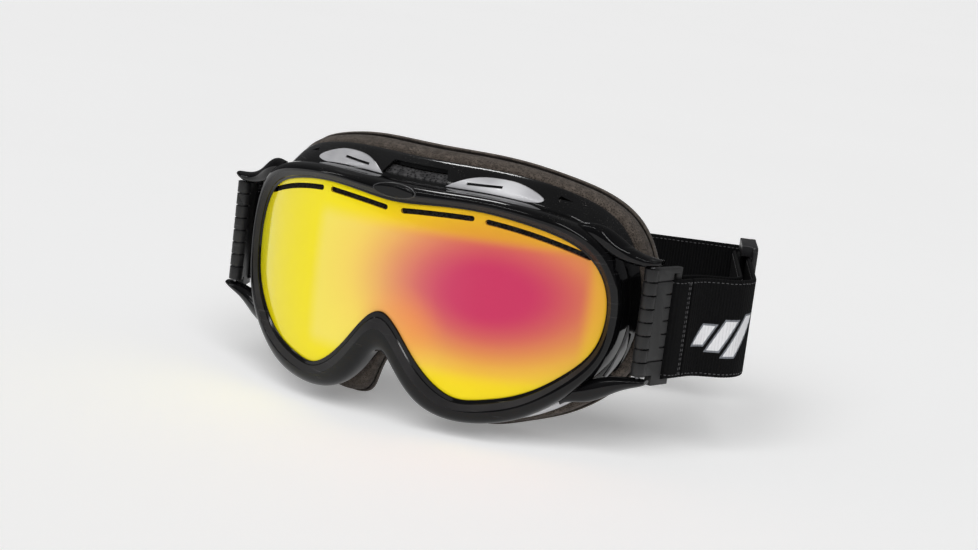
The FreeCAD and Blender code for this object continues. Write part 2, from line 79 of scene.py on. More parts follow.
seatDepth = 42.0  # the lens front stands this far ahead of the face seat

# Every ring follows this shape: the lens sheet's two curves and an outline for each layer.
faceShape = {
    "lensRadius": 117.0, "browRadius": 320.0, "lensLevel": -13.0,
    "noseWidth": 20.0, "noseRelief": 0.35, "frontDepth": 10.0, "smoothing": 14, "stations": 432,
    "outlines": {  # half outlines (x, z) from the middle of the brow down to the nose
        "lens": [(0, 23.4), (18, 24.6), (36, 25), (52, 22.8), (67, 18.2), (77, 10.5), (82.5, -1), (83.6, -14),
                 (80.5, -27), (71.5, -38), (58.5, -47), (44, -51.6), (34, -52.3), (24, -47), (14.5, -37),
                 (7, -27.5), (0, -23)],
        "bezel": [(0, 30), (19, 30.2), (38, 30), (55, 28), (71, 23.5), (82, 14.5), (87.5, 0), (88.5, -14),
                  (85.6, -29), (76.5, -42.5), (62, -54.6), (46.5, -60.4), (33, -61.6), (19.8, -57.8),
                  (10, -48.4), (4.5, -41), (0, -38.6)],
        "flange": [(0, 38.8), (19, 38.9), (37, 38.2), (54, 35.6), (70, 30), (81, 20), (87, 3), (88.3, -14),
                   (86.3, -30), (78.5, -43.5), (64.5, -55), (49, -60.5), (35, -61.5), (23, -57.5),
                   (13.5, -48.5), (6, -40.5), (0, -38)],
        "foam": [(0, 42), (19, 42.1), (37, 41), (55, 37.6), (71, 31.6), (82.4, 21), (89, 4), (90.6, -14),
                 (88.4, -31), (80.5, -45.5), (66, -56.8), (50, -63), (36.8, -66.4), (22.6, -64.8),
                 (14.8, -55.4), (7.6, -43.6), (0, -39.6)],
        "mouth": [(0, 26.5), (18, 27.3), (36, 26.8), (53, 24.2), (68, 18.6), (78, 10), (82.6, -2),
                  (83.6, -14), (80.8, -27), (71.8, -38.2), (59, -47), (45, -51.6), (35.5, -52),
                  (27.5, -48.3), (19, -40), (9, -31), (0, -27.5)],
    },
}


def setInputs(tree, node, values):
    for key, value in values.items():
        if isinstance(value, bpy.types.NodeSocket):
            tree.links.new(value, node.inputs[key])
        else:
            node.inputs[key].default_value = value


def addNode(tree, kind, values=None, **settings):
    made = tree.nodes.new(kind)
    for key, value in settings.items():
        setattr(made, key, value)
    setInputs(tree, made, values or {})
    return made


def calc(tree, operation, *values, clamp=False):
    made = addNode(tree, "ShaderNodeMath", dict(enumerate(values)), operation=operation, use_clamp=clamp)
    return made.outputs[0]


def times(tree, first, second):
    return calc(tree, "MULTIPLY", first, second)


def plus(tree, first, second, clamp=False):
    return calc(tree, "ADD", first, second, clamp=clamp)


def minus(tree, first, second):
    return calc(tree, "SUBTRACT", first, second)


def noise(tree, place, scale, detail, **more):
    return addNode(tree, "ShaderNodeTexNoise", {
        "Vector": place, "Scale": scale, "Detail": detail, **more}).outputs[0]


def objectPlace(tree):
    return addNode(tree, "ShaderNodeTexCoord").outputs["Object"]


def axes(tree, vector):
    return addNode(tree, "ShaderNodeSeparateXYZ", {"Vector": vector}).outputs


def fade(tree, value, low, high, toLow=0.0, toHigh=1.0):
    made = addNode(tree, "ShaderNodeMapRange", {
        "Value": value, "From Min": low, "From Max": high, "To Min": toLow, "To Max": toHigh,
    }, interpolation_type="SMOOTHSTEP")
    return made.outputs[0]


def blendColour(tree, factor, first, second):
    made = addNode(tree, "ShaderNodeMix", data_type="RGBA")
    setInputs(tree, made, {0: factor, 6: first, 7: second})
    return made.outputs[2]


def neutral(tone):
    return (tone, tone, tone, 1.0)


def linear(red, green, blue):
    # display colour, 0 to 255, to scene colour
    shares = [value / 255 for value in (red, green, blue)]
    return tuple(v / 12.92 if v <= 0.04045 else ((v + 0.055) / 1.055) ** 2.4 for v in shares) + (1.0,)


def newGroup(name, inputs, outputs, kind="ShaderNodeTree"):
    group = bpy.data.node_groups.new(name, kind)
    for label, socketType, value in inputs:
        socket = group.interface.new_socket(name=label, in_out="INPUT", socket_type=socketType)
        if value is not None:
            socket.default_value = value
    for label, socketType in outputs:
        group.interface.new_socket(name=label, in_out="OUTPUT", socket_type=socketType)
    return group, group.nodes.new("NodeGroupInput"), group.nodes.new("NodeGroupOutput")


def placeGroup(tree, group, values):
    made = tree.nodes.new("ShaderNodeGroup")
    made.node_tree = group
    setInputs(tree, made, values)
    return made


floatSocket = "NodeSocketFloat"


def textureGroup(name, scale):
    return newGroup(name, [("Scale", floatSocket, scale)], [("Height", floatSocket), ("Tone", floatSocket)])


def makeMouldGrain():
    # the fine texture that a mould leaves on plastic
    group, given, made = textureGroup("mouldGrain", 900.0)
    place = objectPlace(group)
    fine = noise(group, place, given.outputs["Scale"], 3.0, Roughness=0.6)
    slow = noise(group, place, 45.0, 2.0)
    group.links.new(fine, made.inputs["Height"])
    group.links.new(slow, made.inputs["Tone"])
    return group


def makeHandlingScuffs():
    # hairline scratches in two directions, with bare patches between them
    group, given, made = newGroup("handlingScuffs", [("Amount", floatSocket, 0.4)], [("Mask", floatSocket)])
    place = objectPlace(group)
    lines = []
    for turn, stretch in ((0.5, 1500.0), (-0.9, 1100.0)):
        turned = addNode(group, "ShaderNodeMapping", {
            "Vector": place, "Rotation": (0.2, turn, turn), "Scale": (40.0, 60.0, stretch)}).outputs[0]
        lines.append(fade(group, noise(group, turned, 1.0, 1.0), 0.68, 0.74))
    both = calc(group, "MAXIMUM", lines[0], lines[1])
    patch = noise(group, place, 38.0, 2.0)
    shown = times(group, both, fade(group, patch, 0.5, 0.7))
    group.links.new(times(group, shown, given.outputs["Amount"]), made.inputs["Mask"])
    return group


def makeSettledDust():
    # specks that settle on what faces up
    group, given, made = newGroup("settledDust", [("Amount", floatSocket, 0.3)], [("Mask", floatSocket)])
    coords = addNode(group, "ShaderNodeTexCoord")
    up = fade(group, axes(group, coords.outputs["Normal"])["Z"], 0.2, 0.9)
    specks = noise(group, coords.outputs["Object"], 2200.0, 1.0)
    film = noise(group, coords.outputs["Object"], 60.0, 3.0)
    mask = times(group, fade(group, specks, 0.66, 0.74), fade(group, film, 0.45, 0.7))
    mask = times(group, mask, up)
    group.links.new(times(group, mask, given.outputs["Amount"]), made.inputs["Mask"])
    return group


def makeOpenCells():
    # reticulated foam: round cells, with painted shade in the hollows and lighter walls
    group, given, made = textureGroup("openCells", 1100.0)
    place = objectPlace(group)
    cells = addNode(group, "ShaderNodeTexVoronoi", {"Vector": place, "Scale": given.outputs["Scale"]})
    wall = fade(group, cells.outputs["Distance"], 0.1, 0.62)
    patch = noise(group, place, 420.0, 2.0)
    # the colour darkens in the hollows as painted shade; the slow patches are the foam's own uneven tone
    tone = times(group, wall, fade(group, patch, 0.3, 0.75, 0.45, 1.0))
    group.links.new(wall, made.inputs["Height"])
    group.links.new(tone, made.inputs["Tone"])
    return group


def makeNap():
    # the brushed surface of fleece
    group, given, made = textureGroup("fleeceNap", 1500.0)
    place = objectPlace(group)
    hairs = noise(group, place, given.outputs["Scale"], 4.0, Roughness=0.75, Distortion=1.2)
    matted = noise(group, place, 170.0, 3.0)
    mix = plus(group, times(group, hairs, 0.72), times(group, matted, 0.28))
    group.links.new(mix, made.inputs["Height"])
    group.links.new(fade(group, mix, 0.34, 0.66), made.inputs["Tone"])
    return group


def makeWeave():
    # threads that cross the webbing's ribs; the map holds metres along and across the band
    group, given, made = newGroup("webbingWeave", [
        ("Rib pitch", floatSocket, 0.0012), ("Thread pitch", floatSocket, 0.0006)],
        [("Height", floatSocket), ("Tone", floatSocket)])
    split = axes(group, addNode(group, "ShaderNodeUVMap").outputs[0])
    turns = 2 * math.pi
    ribCount = calc(group, "DIVIDE", split["X"], given.outputs["Rib pitch"])
    threadCount = calc(group, "DIVIDE", split["Y"], given.outputs["Thread pitch"])
    alongAngle = times(group, ribCount, turns)
    acrossAngle = times(group, threadCount, turns)
    rib = calc(group, "COSINE", alongAngle)
    thread = calc(group, "SINE", plus(group, acrossAngle, times(group, alongAngle, 0.5)))
    height = plus(group, times(group, rib, 0.3), times(group, thread, 0.2))
    height = plus(group, height, 0.5)
    lint = noise(group, objectPlace(group), 1400.0, 2.0)
    # the tone follows the height, so the grooves between ribs and threads get painted shade; the lint specks
    # are lighter loose fibres
    tone = plus(group, times(group, height, 0.7), fade(group, lint, 0.5, 0.8, 0.0, 0.5))
    group.links.new(height, made.inputs["Height"])
    group.links.new(tone, made.inputs["Tone"])
    return group


def makeDepthStrip():
    # where a surface lies further behind the lens sheet than the depth given
    radius = faceShape["lensRadius"]
    group, given, made = newGroup("depthStrip", [("Behind lens", floatSocket, 0.019)],
                                  [("Mask", floatSocket)])
    split = axes(group, objectPlace(group))
    fore = minus(group, split["Y"], (radius - seatDepth) * mm)
    squares = plus(group, times(group, fore, fore), times(group, split["X"], split["X"]))
    away = calc(group, "SQRT", squares)
    rise = minus(group, split["Z"], faceShape["lensLevel"] * mm)
    sag = calc(group, "DIVIDE", times(group, rise, rise), 2 * faceShape["browRadius"] * mm)
    depth = minus(group, minus(group, radius * mm, sag), away)
    beyond = minus(group, depth, given.outputs["Behind lens"])
    group.links.new(fade(group, beyond, -0.15 * mm, 0.15 * mm), made.inputs["Mask"])
    return group


mouldGrain = makeMouldGrain()
depthStrip = makeDepthStrip()
handlingScuffs = makeHandlingScuffs()
settledDust = makeSettledDust()
openCells = makeOpenCells()
fleeceNap = makeNap()
webbingWeave = makeWeave()


def startMaterial(name, constants):
    material = bpy.data.materials.new(name)
    material.use_nodes = True
    shader = material.node_tree.nodes["Principled BSDF"]
    for key, value in constants.items():
        shader.inputs[key].default_value = value
    return material, material.node_tree, shader


def wireBump(tree, shader, height, distance, strength=1.0):
    bump = addNode(tree, "ShaderNodeBump", {"Height": height, "Distance": distance, "Strength": strength})
    tree.links.new(bump.outputs["Normal"], shader.inputs["Normal"])


def plasticMaterial(name, spec):
    material, tree, shader = startMaterial(name, {
        "Specular IOR Level": spec.get("specular", 0.4), "Coat Weight": spec.get("coat", 0.0),
        "Coat Roughness": 0.04, "Metallic": spec.get("metallic", 0.0)})
    grain = placeGroup(tree, mouldGrain, {"Scale": spec["grain"]})
    scuffs = placeGroup(tree, handlingScuffs, {"Amount": spec["scuffs"]})
    dust = placeGroup(tree, settledDust, {"Amount": spec["dust"]})
    colour = blendColour(tree, fade(tree, grain.outputs["Tone"], 0.35, 0.65), spec["dark"], spec["light"])
    if "strip" in spec:
        strip = placeGroup(tree, depthStrip, {"Behind lens": spec["strip"]["behind"] * mm})
        colour = blendColour(tree, strip.outputs["Mask"], colour, spec["strip"]["colour"])
    colour = blendColour(tree, scuffs.outputs["Mask"], colour, neutral(spec["scuffTone"]))
    colour = blendColour(tree, dust.outputs["Mask"], colour, (0.45, 0.43, 0.4, 1.0))
    tree.links.new(colour, shader.inputs["Base Color"])
    low, high = spec["roughness"]
    rough = fade(tree, grain.outputs["Tone"], 0.3, 0.7, low, high)
    if "strip" in spec:
        rough = plus(tree, rough, times(tree, strip.outputs["Mask"], spec["strip"]["rougher"]))
    rough = plus(tree, rough, times(tree, scuffs.outputs["Mask"], 0.3))
    rough = plus(tree, rough, times(tree, dust.outputs["Mask"], 0.4), clamp=True)
    tree.links.new(rough, shader.inputs["Roughness"])
    wireBump(tree, shader, grain.outputs["Height"], spec["relief"] * mm)
    return material


plastics = {
    "glossBlack": {"dark": (0.002, 0.002, 0.0024, 1), "light": (0.004, 0.004, 0.0044, 1),
                   "roughness": (0.05, 0.1), "specular": 0.3, "grain": 500.0, "relief": 0.002,
                   "scuffs": 0.25, "dust": 0.35, "scuffTone": 0.08},
    "satinBand": {"dark": (0.014, 0.0135, 0.014, 1), "light": (0.022, 0.021, 0.022, 1),
                  "roughness": (0.34, 0.46), "specular": 0.35, "grain": 1500.0, "relief": 0.012,
                  "scuffs": 0.3, "dust": 0.3, "scuffTone": 0.16},
    "rearFrame": {"dark": (0.004, 0.004, 0.0044, 1), "light": (0.008, 0.008, 0.0084, 1),
                  "roughness": (0.08, 0.15), "grain": 1300.0, "relief": 0.004, "scuffs": 0.3, "dust": 0.4,
                  "scuffTone": 0.1, "specular": 0.35,
                  "strip": {"behind": 19.0, "colour": (0.035, 0.035, 0.034, 1), "rougher": 0.25}},
    "trimSilver": {"dark": (0.52, 0.52, 0.54, 1), "light": (0.72, 0.72, 0.74, 1), "roughness": (0.28, 0.4),
                   "grain": 2600.0, "relief": 0.006, "scuffs": 0.35, "dust": 0.4, "scuffTone": 0.3,
                   "metallic": 0.25, "coat": 0.3},
    "finGrey": {"dark": (0.15, 0.15, 0.155, 1), "light": (0.25, 0.25, 0.255, 1), "roughness": (0.25, 0.36),
                "grain": 2400.0, "relief": 0.006, "scuffs": 0.3, "dust": 0.3, "scuffTone": 0.4,
                "metallic": 0.2, "coat": 0.2},
    "trimDark": {"dark": (0.06, 0.06, 0.062, 1), "light": (0.1, 0.1, 0.102, 1), "roughness": (0.15, 0.25),
                 "grain": 2000.0, "relief": 0.003, "scuffs": 0.3, "dust": 0.2, "scuffTone": 0.2,
                 "metallic": 0.3},
    "clipSatin": {"dark": (0.012, 0.012, 0.0125, 1), "light": (0.02, 0.02, 0.02, 1),
                  "roughness": (0.4, 0.52), "specular": 0.4, "grain": 1200.0, "relief": 0.02, "scuffs": 0.5,
                  "dust": 0.4, "scuffTone": 0.13},
    "sliderSatin": {"dark": (0.012, 0.012, 0.013, 1), "light": (0.022, 0.021, 0.022, 1),
                    "roughness": (0.3, 0.42), "grain": 1200.0, "relief": 0.015, "scuffs": 0.4, "dust": 0.5,
                    "scuffTone": 0.1},
    "pinSteel": {"dark": (0.16, 0.16, 0.165, 1), "light": (0.24, 0.24, 0.25, 1), "roughness": (0.22, 0.34),
                 "grain": 1800.0, "relief": 0.004, "scuffs": 0.5, "dust": 0.1, "scuffTone": 0.3,
                 "metallic": 1.0},
}
finishes = {name: plasticMaterial(name, spec) for name, spec in plastics.items()}


def foamMaterial(name, spec):
    material, tree, shader = startMaterial(name, {
        "Specular IOR Level": 0.15, "Sheen Weight": spec["sheen"], "Sheen Roughness": 0.5})
    texture = placeGroup(tree, spec["group"], {"Scale": spec["scale"]})
    tree.links.new(blendColour(tree, texture.outputs["Tone"], spec["dark"], spec["light"]),
                   shader.inputs["Base Color"])
    tree.links.new(fade(tree, texture.outputs["Tone"], 0.0, 1.0, 0.98, 0.8), shader.inputs["Roughness"])
    wireBump(tree, shader, texture.outputs["Height"], spec["relief"] * mm, 0.9)
    return material


foams = {
    "ventFoam": {"group": openCells, "scale": 900.0, "dark": (0.008, 0.008, 0.009, 1),
                 "light": (0.085, 0.083, 0.085, 1), "relief": 0.5, "sheen": 0.05},
    "slotFoam": {"group": openCells, "scale": 1000.0, "dark": (0.002, 0.002, 0.0022, 1),
                 "light": (0.022, 0.022, 0.023, 1), "relief": 0.3, "sheen": 0.0},
    "padFoam": {"group": openCells, "scale": 1500.0, "dark": (0.03, 0.024, 0.02, 1),
                "light": (0.13, 0.107, 0.09, 1), "relief": 0.22, "sheen": 0.08},
    "faceFleece": {"group": fleeceNap, "scale": 1500.0, "dark": (0.034, 0.027, 0.022, 1),
                   "light": (0.14, 0.115, 0.097, 1), "relief": 0.3, "sheen": 0.15},
    "gasketFoam": {"group": openCells, "scale": 1900.0, "dark": (0.01, 0.01, 0.01, 1),
                   "light": (0.03, 0.03, 0.03, 1), "relief": 0.1, "sheen": 0.0},
}
finishes.update({name: foamMaterial(name, spec) for name, spec in foams.items()})


# The mirror coating changes colour over the lens: soft patches, in millimetres from the lens middle.
lensTint = {
    "base": linear(255, 236, 10), "wearerSide": linear(150, 82, 70),
    "patches": [
        # x, z, half width, half height, strength, share that shows outside the window of painted backlight,
        # colour
        (44, -4, 88, 58, 0.85, 0.7, linear(246, 146, 50)),
        (43, -7, 64, 41, 1.0, 0.5, linear(204, 24, 88)),
        (9, -27, 22, 20, 0.5, 1.0, linear(250, 140, 15)),
        (-90, -14, 26, 40, 0.3, 1.0, linear(215, 232, 50)),
        (98, -12, 20, 44, 0.7, 1.0, linear(255, 226, 10)),
    ],
    # the window where painted backlight shows through the lens: paler inside, most on the left
    "backlitWindow": {"left": -36, "right": 77, "top": 13, "bottom": -42, "soft": 4,
                "colour": linear(255, 235, 225), "backlightFrom": -20, "backlightTo": 45, "backlight": 0.15,
                "backlightRight": 0.03},
}


def mirrorLensMaterial():
    material, tree, shader = startMaterial("mirrorLens", {
        "Metallic": 0.1, "Coat Weight": 0.2, "Coat Roughness": 0.02, "Specular IOR Level": 0.2})
    coords = addNode(tree, "ShaderNodeTexCoord")
    split = axes(tree, coords.outputs["Object"])
    colour = lensTint["base"]
    window = lensTint["backlitWindow"]
    soft = window["soft"] * mm
    inside = 1.0
    for axis, low, high in (("X", "left", "right"), ("Z", "bottom", "top")):
        for edge, *shown in ((window[low] * mm, 0.0, 1.0), (window[high] * mm, 1.0, 0.0)):
            within = fade(tree, split[axis], edge - soft, edge + soft, *shown)
            inside = times(tree, inside, within)
    for x, z, halfWidth, halfHeight, strength, outside, patchColour in lensTint["patches"]:
        dx = calc(tree, "DIVIDE", minus(tree, split["X"], x * mm), halfWidth * mm)
        dz = calc(tree, "DIVIDE", minus(tree, split["Z"], z * mm), halfHeight * mm)
        squares = plus(tree, times(tree, dx, dx), times(tree, dz, dz))
        reach = calc(tree, "SQRT", squares)
        share = fade(tree, inside, 0.0, 1.0, outside, 1.0)
        mask = times(tree, fade(tree, reach, 0.2, 1.0, strength, 0.0), share)
        colour = blendColour(tree, mask, colour, patchColour)
    # painted backlight: inside the window the lens is paled towards a near-white pink, more on the left
    backlight = fade(tree, split["X"], window["backlightFrom"] * mm, window["backlightTo"] * mm,
                window["backlight"], window["backlightRight"])
    colour = blendColour(tree, times(tree, inside, backlight), colour, window["colour"])
    facing = axes(tree, coords.outputs["Normal"])["Y"]
    colour = blendColour(tree, fade(tree, facing, -0.1, 0.1), colour, lensTint["wearerSide"])
    scuffs = placeGroup(tree, handlingScuffs, {"Amount": 0.12})
    tree.links.new(colour, shader.inputs["Base Color"])
    rough = plus(tree, times(tree, scuffs.outputs["Mask"], 0.4), 0.1)
    tree.links.new(rough, shader.inputs["Roughness"])
    return material


def clearLensMaterial():
    material, tree, shader = startMaterial("innerLensClear", {
        "Transmission Weight": 0.9, "IOR": 1.49, "Metallic": 0.0})
    scuffs = placeGroup(tree, handlingScuffs, {"Amount": 0.3})
    tree.links.new(plus(tree, scuffs.outputs["Mask"], 0.03), shader.inputs["Roughness"])
    tree.links.new(blendColour(tree, scuffs.outputs["Mask"], (0.93, 0.8, 0.66, 1), (0.75, 0.7, 0.65, 1)),
                   shader.inputs["Base Color"])
    return material


webbing = {"top": 6.0, "bottom": -35.0, "thickness": 1.6, "ribPitch": 1.3, "threadPitch": 0.6,
           "ribHeight": 0.09, "step": 0.325, "layerHalfGap": 2.8}
strapPrint = {"start": 7.0, "pitch": 8.4, "bars": 3, "bar": 5.4, "outline": 0.8, "low": -26.0, "high": -9.0,
              "lean": 0.55, "forward": 17.0, "shorterBy": 2.2, "blur": 0.15,
              "white": (0.8, 0.8, 0.82, 1), "grey": (0.2, 0.21, 0.23, 1)}


def webbingMaterial(name, printed):
    material, tree, shader = startMaterial(name, {
        "Specular IOR Level": 0.12, "Sheen Weight": 0.01, "Sheen Roughness": 0.4})
    weave = placeGroup(tree, webbingWeave, {
        "Rib pitch": webbing["ribPitch"] * mm, "Thread pitch": webbing["threadPitch"] * mm})
    colour = blendColour(tree, weave.outputs["Tone"], (0.0012, 0.0012, 0.0014, 1), (0.0085, 0.0085, 0.009, 1))
    if printed:
        split = axes(tree, addNode(tree, "ShaderNodeUVMap").outputs[0])
        slanted = minus(tree, split["X"], times(tree, split["Y"], strapPrint["lean"]))
        middleLevel = (strapPrint["low"] + strapPrint["high"]) / 2 * mm
        level = calc(tree, "ABSOLUTE", minus(tree, split["Y"], middleLevel))
        for grow, ink in ((strapPrint["outline"], strapPrint["grey"]), (0.0, strapPrint["white"])):
            mask = 0.0
            for i in range(strapPrint["bars"]):
                middle = (strapPrint["start"] + i * strapPrint["pitch"] + strapPrint["bar"] / 2
                          + strapPrint["forward"] * strapPrint["lean"]) * mm
                away = calc(tree, "ABSOLUTE", minus(tree, slanted, middle))
                wide = strapPrint["bar"] / 2 + grow
                inBar = fade(tree, away, wide * mm, (wide - strapPrint["blur"]) * mm)
                shorter = (strapPrint["bars"] - 1 - i) * strapPrint["shorterBy"]
                half = (strapPrint["high"] - strapPrint["low"]) / 2 - shorter + grow
                inHeight = fade(tree, level, half * mm, (half - strapPrint["blur"]) * mm)
                mask = calc(tree, "MAXIMUM", mask, times(tree, inBar, inHeight))
            colour = blendColour(tree, mask, colour, ink)
    tree.links.new(colour, shader.inputs["Base Color"])
    tree.links.new(fade(tree, weave.outputs["Tone"], 0.0, 1.0, 0.75, 0.95), shader.inputs["Roughness"])
    wireBump(tree, shader, weave.outputs["Height"], 0.00012)
    return material


def threadMaterial():
    material, tree, shader = startMaterial("stitchThread", {"Specular IOR Level": 0.3, "Sheen Weight": 0.2})
    grain = placeGroup(tree, mouldGrain, {"Scale": 3500.0})
    tree.links.new(blendColour(tree, grain.outputs["Height"], (0.02, 0.02, 0.022, 1), (0.16, 0.16, 0.165, 1)),
                   shader.inputs["Base Color"])
    tree.links.new(fade(tree, grain.outputs["Height"], 0.3, 0.7, 0.6, 0.8), shader.inputs["Roughness"])
    wireBump(tree, shader, grain.outputs["Height"], 0.00005)
    return material


finishes["mirrorLens"] = mirrorLensMaterial()
finishes["innerLensClear"] = clearLensMaterial()
finishes["strapWebbing"] = webbingMaterial("strapWebbing", False)
finishes["strapWebbingPrinted"] = webbingMaterial("strapWebbingPrinted", True)
finishes["stitchThread"] = threadMaterial()
print("materials ready", len(finishes))


def meshObject(name, points, faces, materials):
    mesh = bpy.data.meshes.new(name)
    mesh.from_pydata([tuple(p) for p in points], [], faces)
    mesh.validate()
    for material in materials:
        mesh.materials.append(finishes[material])
    made = bpy.data.objects.new(name, mesh)
    bpy.context.scene.collection.objects.link(made)
    return made


def stripFace(i, ahead, j, beside, across):
    # one quad between two neighbouring sections of a tube
    return i * across + j, i * across + beside, ahead * across + beside, ahead * across + j


def paint(piece, finish):
    piece.data.materials.clear()
    piece.data.materials.append(finishes[finish])


def smoothShade(piece, sharpAngle=40.0):
    piece.data.shade_smooth()
    piece.data.set_sharp_from_angle(angle=math.radians(sharpAngle))


def bakeModifiers(piece):
    graph = bpy.context.evaluated_depsgraph_get()
    mesh = bpy.data.meshes.new_from_object(piece.evaluated_get(graph))
    piece.modifiers.clear()
    piece.data = mesh
    return piece


def settlePiece(piece, body, slot, *replaced):
    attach(piece, body)
    if replaced:
        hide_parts(*replaced)
    return piece


def lensDepth(x, z):
    radius = faceShape["browRadius"]
    sag = radius - np.sqrt(radius ** 2 - (z - faceShape["lensLevel"]) ** 2)
    across = faceShape["lensRadius"] - sag
    return faceShape["lensRadius"] - np.sqrt(np.maximum(across ** 2 - x ** 2, 1e-6))


def unit(vectors):
    return vectors / np.linalg.norm(vectors, axis=-1, keepdims=True)


def wholeOutline(half):
    left = [(-x, z) for x, z in reversed(half[1:-1])]
    return np.array(list(half) + left, float)


def closedSpline(points, knots, count):
    # the smooth closed curve through the points, at even steps of the parameter
    n = len(points)
    h = np.diff(knots)
    matrix = np.zeros((n, n))
    pull = np.zeros((n, 2))
    for i in range(n):
        before = (i - 1) % n
        after = (i + 1) % n
        matrix[i, before] += h[before] / 6
        matrix[i, i] += (h[before] + h[i]) / 3
        matrix[i, after] += h[i] / 6
        pull[i] = (points[after] - points[i]) / h[i] - (points[i] - points[before]) / h[before]
    bend = np.linalg.solve(matrix, pull)
    t = np.arange(count) / count
    k = np.clip(np.searchsorted(knots, t, side="right") - 1, 0, n - 1)
    a = ((knots[k + 1] - t) / h[k])[:, None]
    b = 1 - a
    after = (k + 1) % n
    curve = a * points[k] + b * points[after]
    return curve + ((a ** 3 - a) * bend[k] + (b ** 3 - b) * bend[after]) * (h[k] ** 2)[:, None] / 6


def relax(curve, rounds):
    # takes the ripple out of a closed curve without shrinking it
    for i in range(rounds):
        for share in (0.5, -0.52):
            curve = curve + share * ((np.roll(curve, 1, 0) + np.roll(curve, -1, 0)) / 2 - curve)
    return curve


def faceOutlines(count):
    lens = wholeOutline(faceShape["outlines"]["lens"])
    steps = np.sqrt(np.hypot(*(np.roll(lens, -1, 0) - lens).T))
    knots = np.concatenate([[0], np.cumsum(steps) / steps.sum()])
    rounds = int(faceShape["smoothing"] * (count / 144) ** 2)
    curves = {name: relax(closedSpline(wholeOutline(half), knots, count), rounds)
              for name, half in faceShape["outlines"].items()}
    tangent = unit(np.roll(curves["lens"], -1, 0) - np.roll(curves["lens"], 1, 0))
    inward = np.stack([tangent[:, 1], -tangent[:, 0]], 1)  # the outline runs clockwise seen from the front
    curves["lip"] = curves["lens"] + 0.7 * inward
    curves["hidden"] = curves["lens"] - 1.4 * inward
    return curves


def ringPoints(rails, count, perSpan):
    # rails are (depth, {outline: share}, weight); a weight of 3 makes a crisp edge of the section
    curves = faceOutlines(count)
    base = lensDepth(curves["lens"][:, 0], curves["lens"][:, 1])
    nose = np.exp(-(curves["lens"][:, 0] / faceShape["noseWidth"]) ** 2) * (curves["lens"][:, 1] <= 0)
    controls = []
    owners = []
    for index, (depth, shares, weight) in enumerate(rails):
        flat = sum(share * curves[name] for name, share in shares.items())
        back = base + depth
        if depth > faceShape["frontDepth"]:
            extra = depth - faceShape["frontDepth"]
            back = base + faceShape["frontDepth"] + extra * (1 - faceShape["noseRelief"] * nose)
        rail = np.stack([flat[:, 0], back - seatDepth, flat[:, 1]], 1)
        controls += [rail] * weight
        owners += [index] * weight
    total = len(controls)
    section = []
    sectionOwner = []
    for i in range(total):
        four = [controls[(i + j) % total] for j in range(4)]
        for step in range(perSpan):
            t = step / perSpan
            w = ((1 - t) ** 3 / 6, (3 * t ** 3 - 6 * t ** 2 + 4) / 6,
                 (-3 * t ** 3 + 3 * t ** 2 + 3 * t + 1) / 6, t ** 3 / 6)
            section.append(sum(share * rail for share, rail in zip(w, four)))
            sectionOwner.append((owners[(i + 1) % total], owners[(i + 2) % total]))
    return np.stack(section, 1), sectionOwner


def ringObject(name, rails, materials, count=None, perSpan=3, banded=()):
    count = count or faceShape["stations"]
    points, sectionOwner = ringPoints(rails, count, perSpan)
    across = points.shape[1]
    faces = []
    bands = []
    for i in range(count):
        ahead = (i + 1) % count
        for j in range(across):
            beside = (j + 1) % across
            faces.append(stripFace(i, ahead, j, beside, across))
            bands.append(1 if sectionOwner[j] in banded else 0)
    made = meshObject(name, points.reshape(-1, 3) * mm, faces, materials)
    for polygon, band in zip(made.data.polygons, bands):
        polygon.material_index = band
    faceOutwards(made)
    smoothShade(made)
    return made


def faceOutwards(piece):
    work = bmesh.new()
    work.from_mesh(piece.data)
    bmesh.ops.remove_doubles(work, verts=work.verts, dist=1e-6)
    bmesh.ops.recalc_face_normals(work, faces=work.faces)
    if work.calc_volume(signed=True) < 0:
        bmesh.ops.reverse_faces(work, faces=work.faces)
    work.to_mesh(piece.data)
    work.free()


bezelRing = {
    "rails": [
        (-0.9, {"lip": 1.0}, 2),
        (-1.15, {"lip": 0.86, "bezel": 0.14}, 3),
        (-1.6, {"lip": 0.82, "bezel": 0.18}, 3),
        (-2.7, {"lens": 0.62, "bezel": 0.38}, 2),
        (-2.9, {"lens": 0.5, "bezel": 0.5}, 1),
        (-2.2, {"lens": 0.24, "bezel": 0.76}, 1),
        (0.2, {"lens": -0.02, "bezel": 1.02}, 1),
        (5.0, {"lens": -0.04, "bezel": 1.04}, 1),
        (9.2, {"lens": -0.02, "bezel": 1.02}, 2),
        (9.9, {"lens": 0.06, "bezel": 0.94}, 2),
        (9.7, {"lens": 0.3, "bezel": 0.7}, 1),
        (5.6, {"lens": 0.45, "bezel": 0.55}, 1),
        (3.4, {"lens": 0.8, "bezel": 0.2}, 2),
        (3.0, {"lip": 1.0}, 3),
        (1.35, {"lip": 1.0}, 3),
        (1.35, {"hidden": 1.0}, 3),
        (-0.12, {"hidden": 1.0}, 3),
        (-0.12, {"lip": 1.0}, 3),
    ],
    "satin": ((2, 2), (2, 3), (3, 3)),
}
bezel = ringObject("bezelFrame", bezelRing["rails"], ["glossBlack", "satinBand"], banded=bezelRing["satin"])
settlePiece(bezel, "goggle", "frame_gloss", "frame_front")
print("front frame", len(bezel.data.polygons))


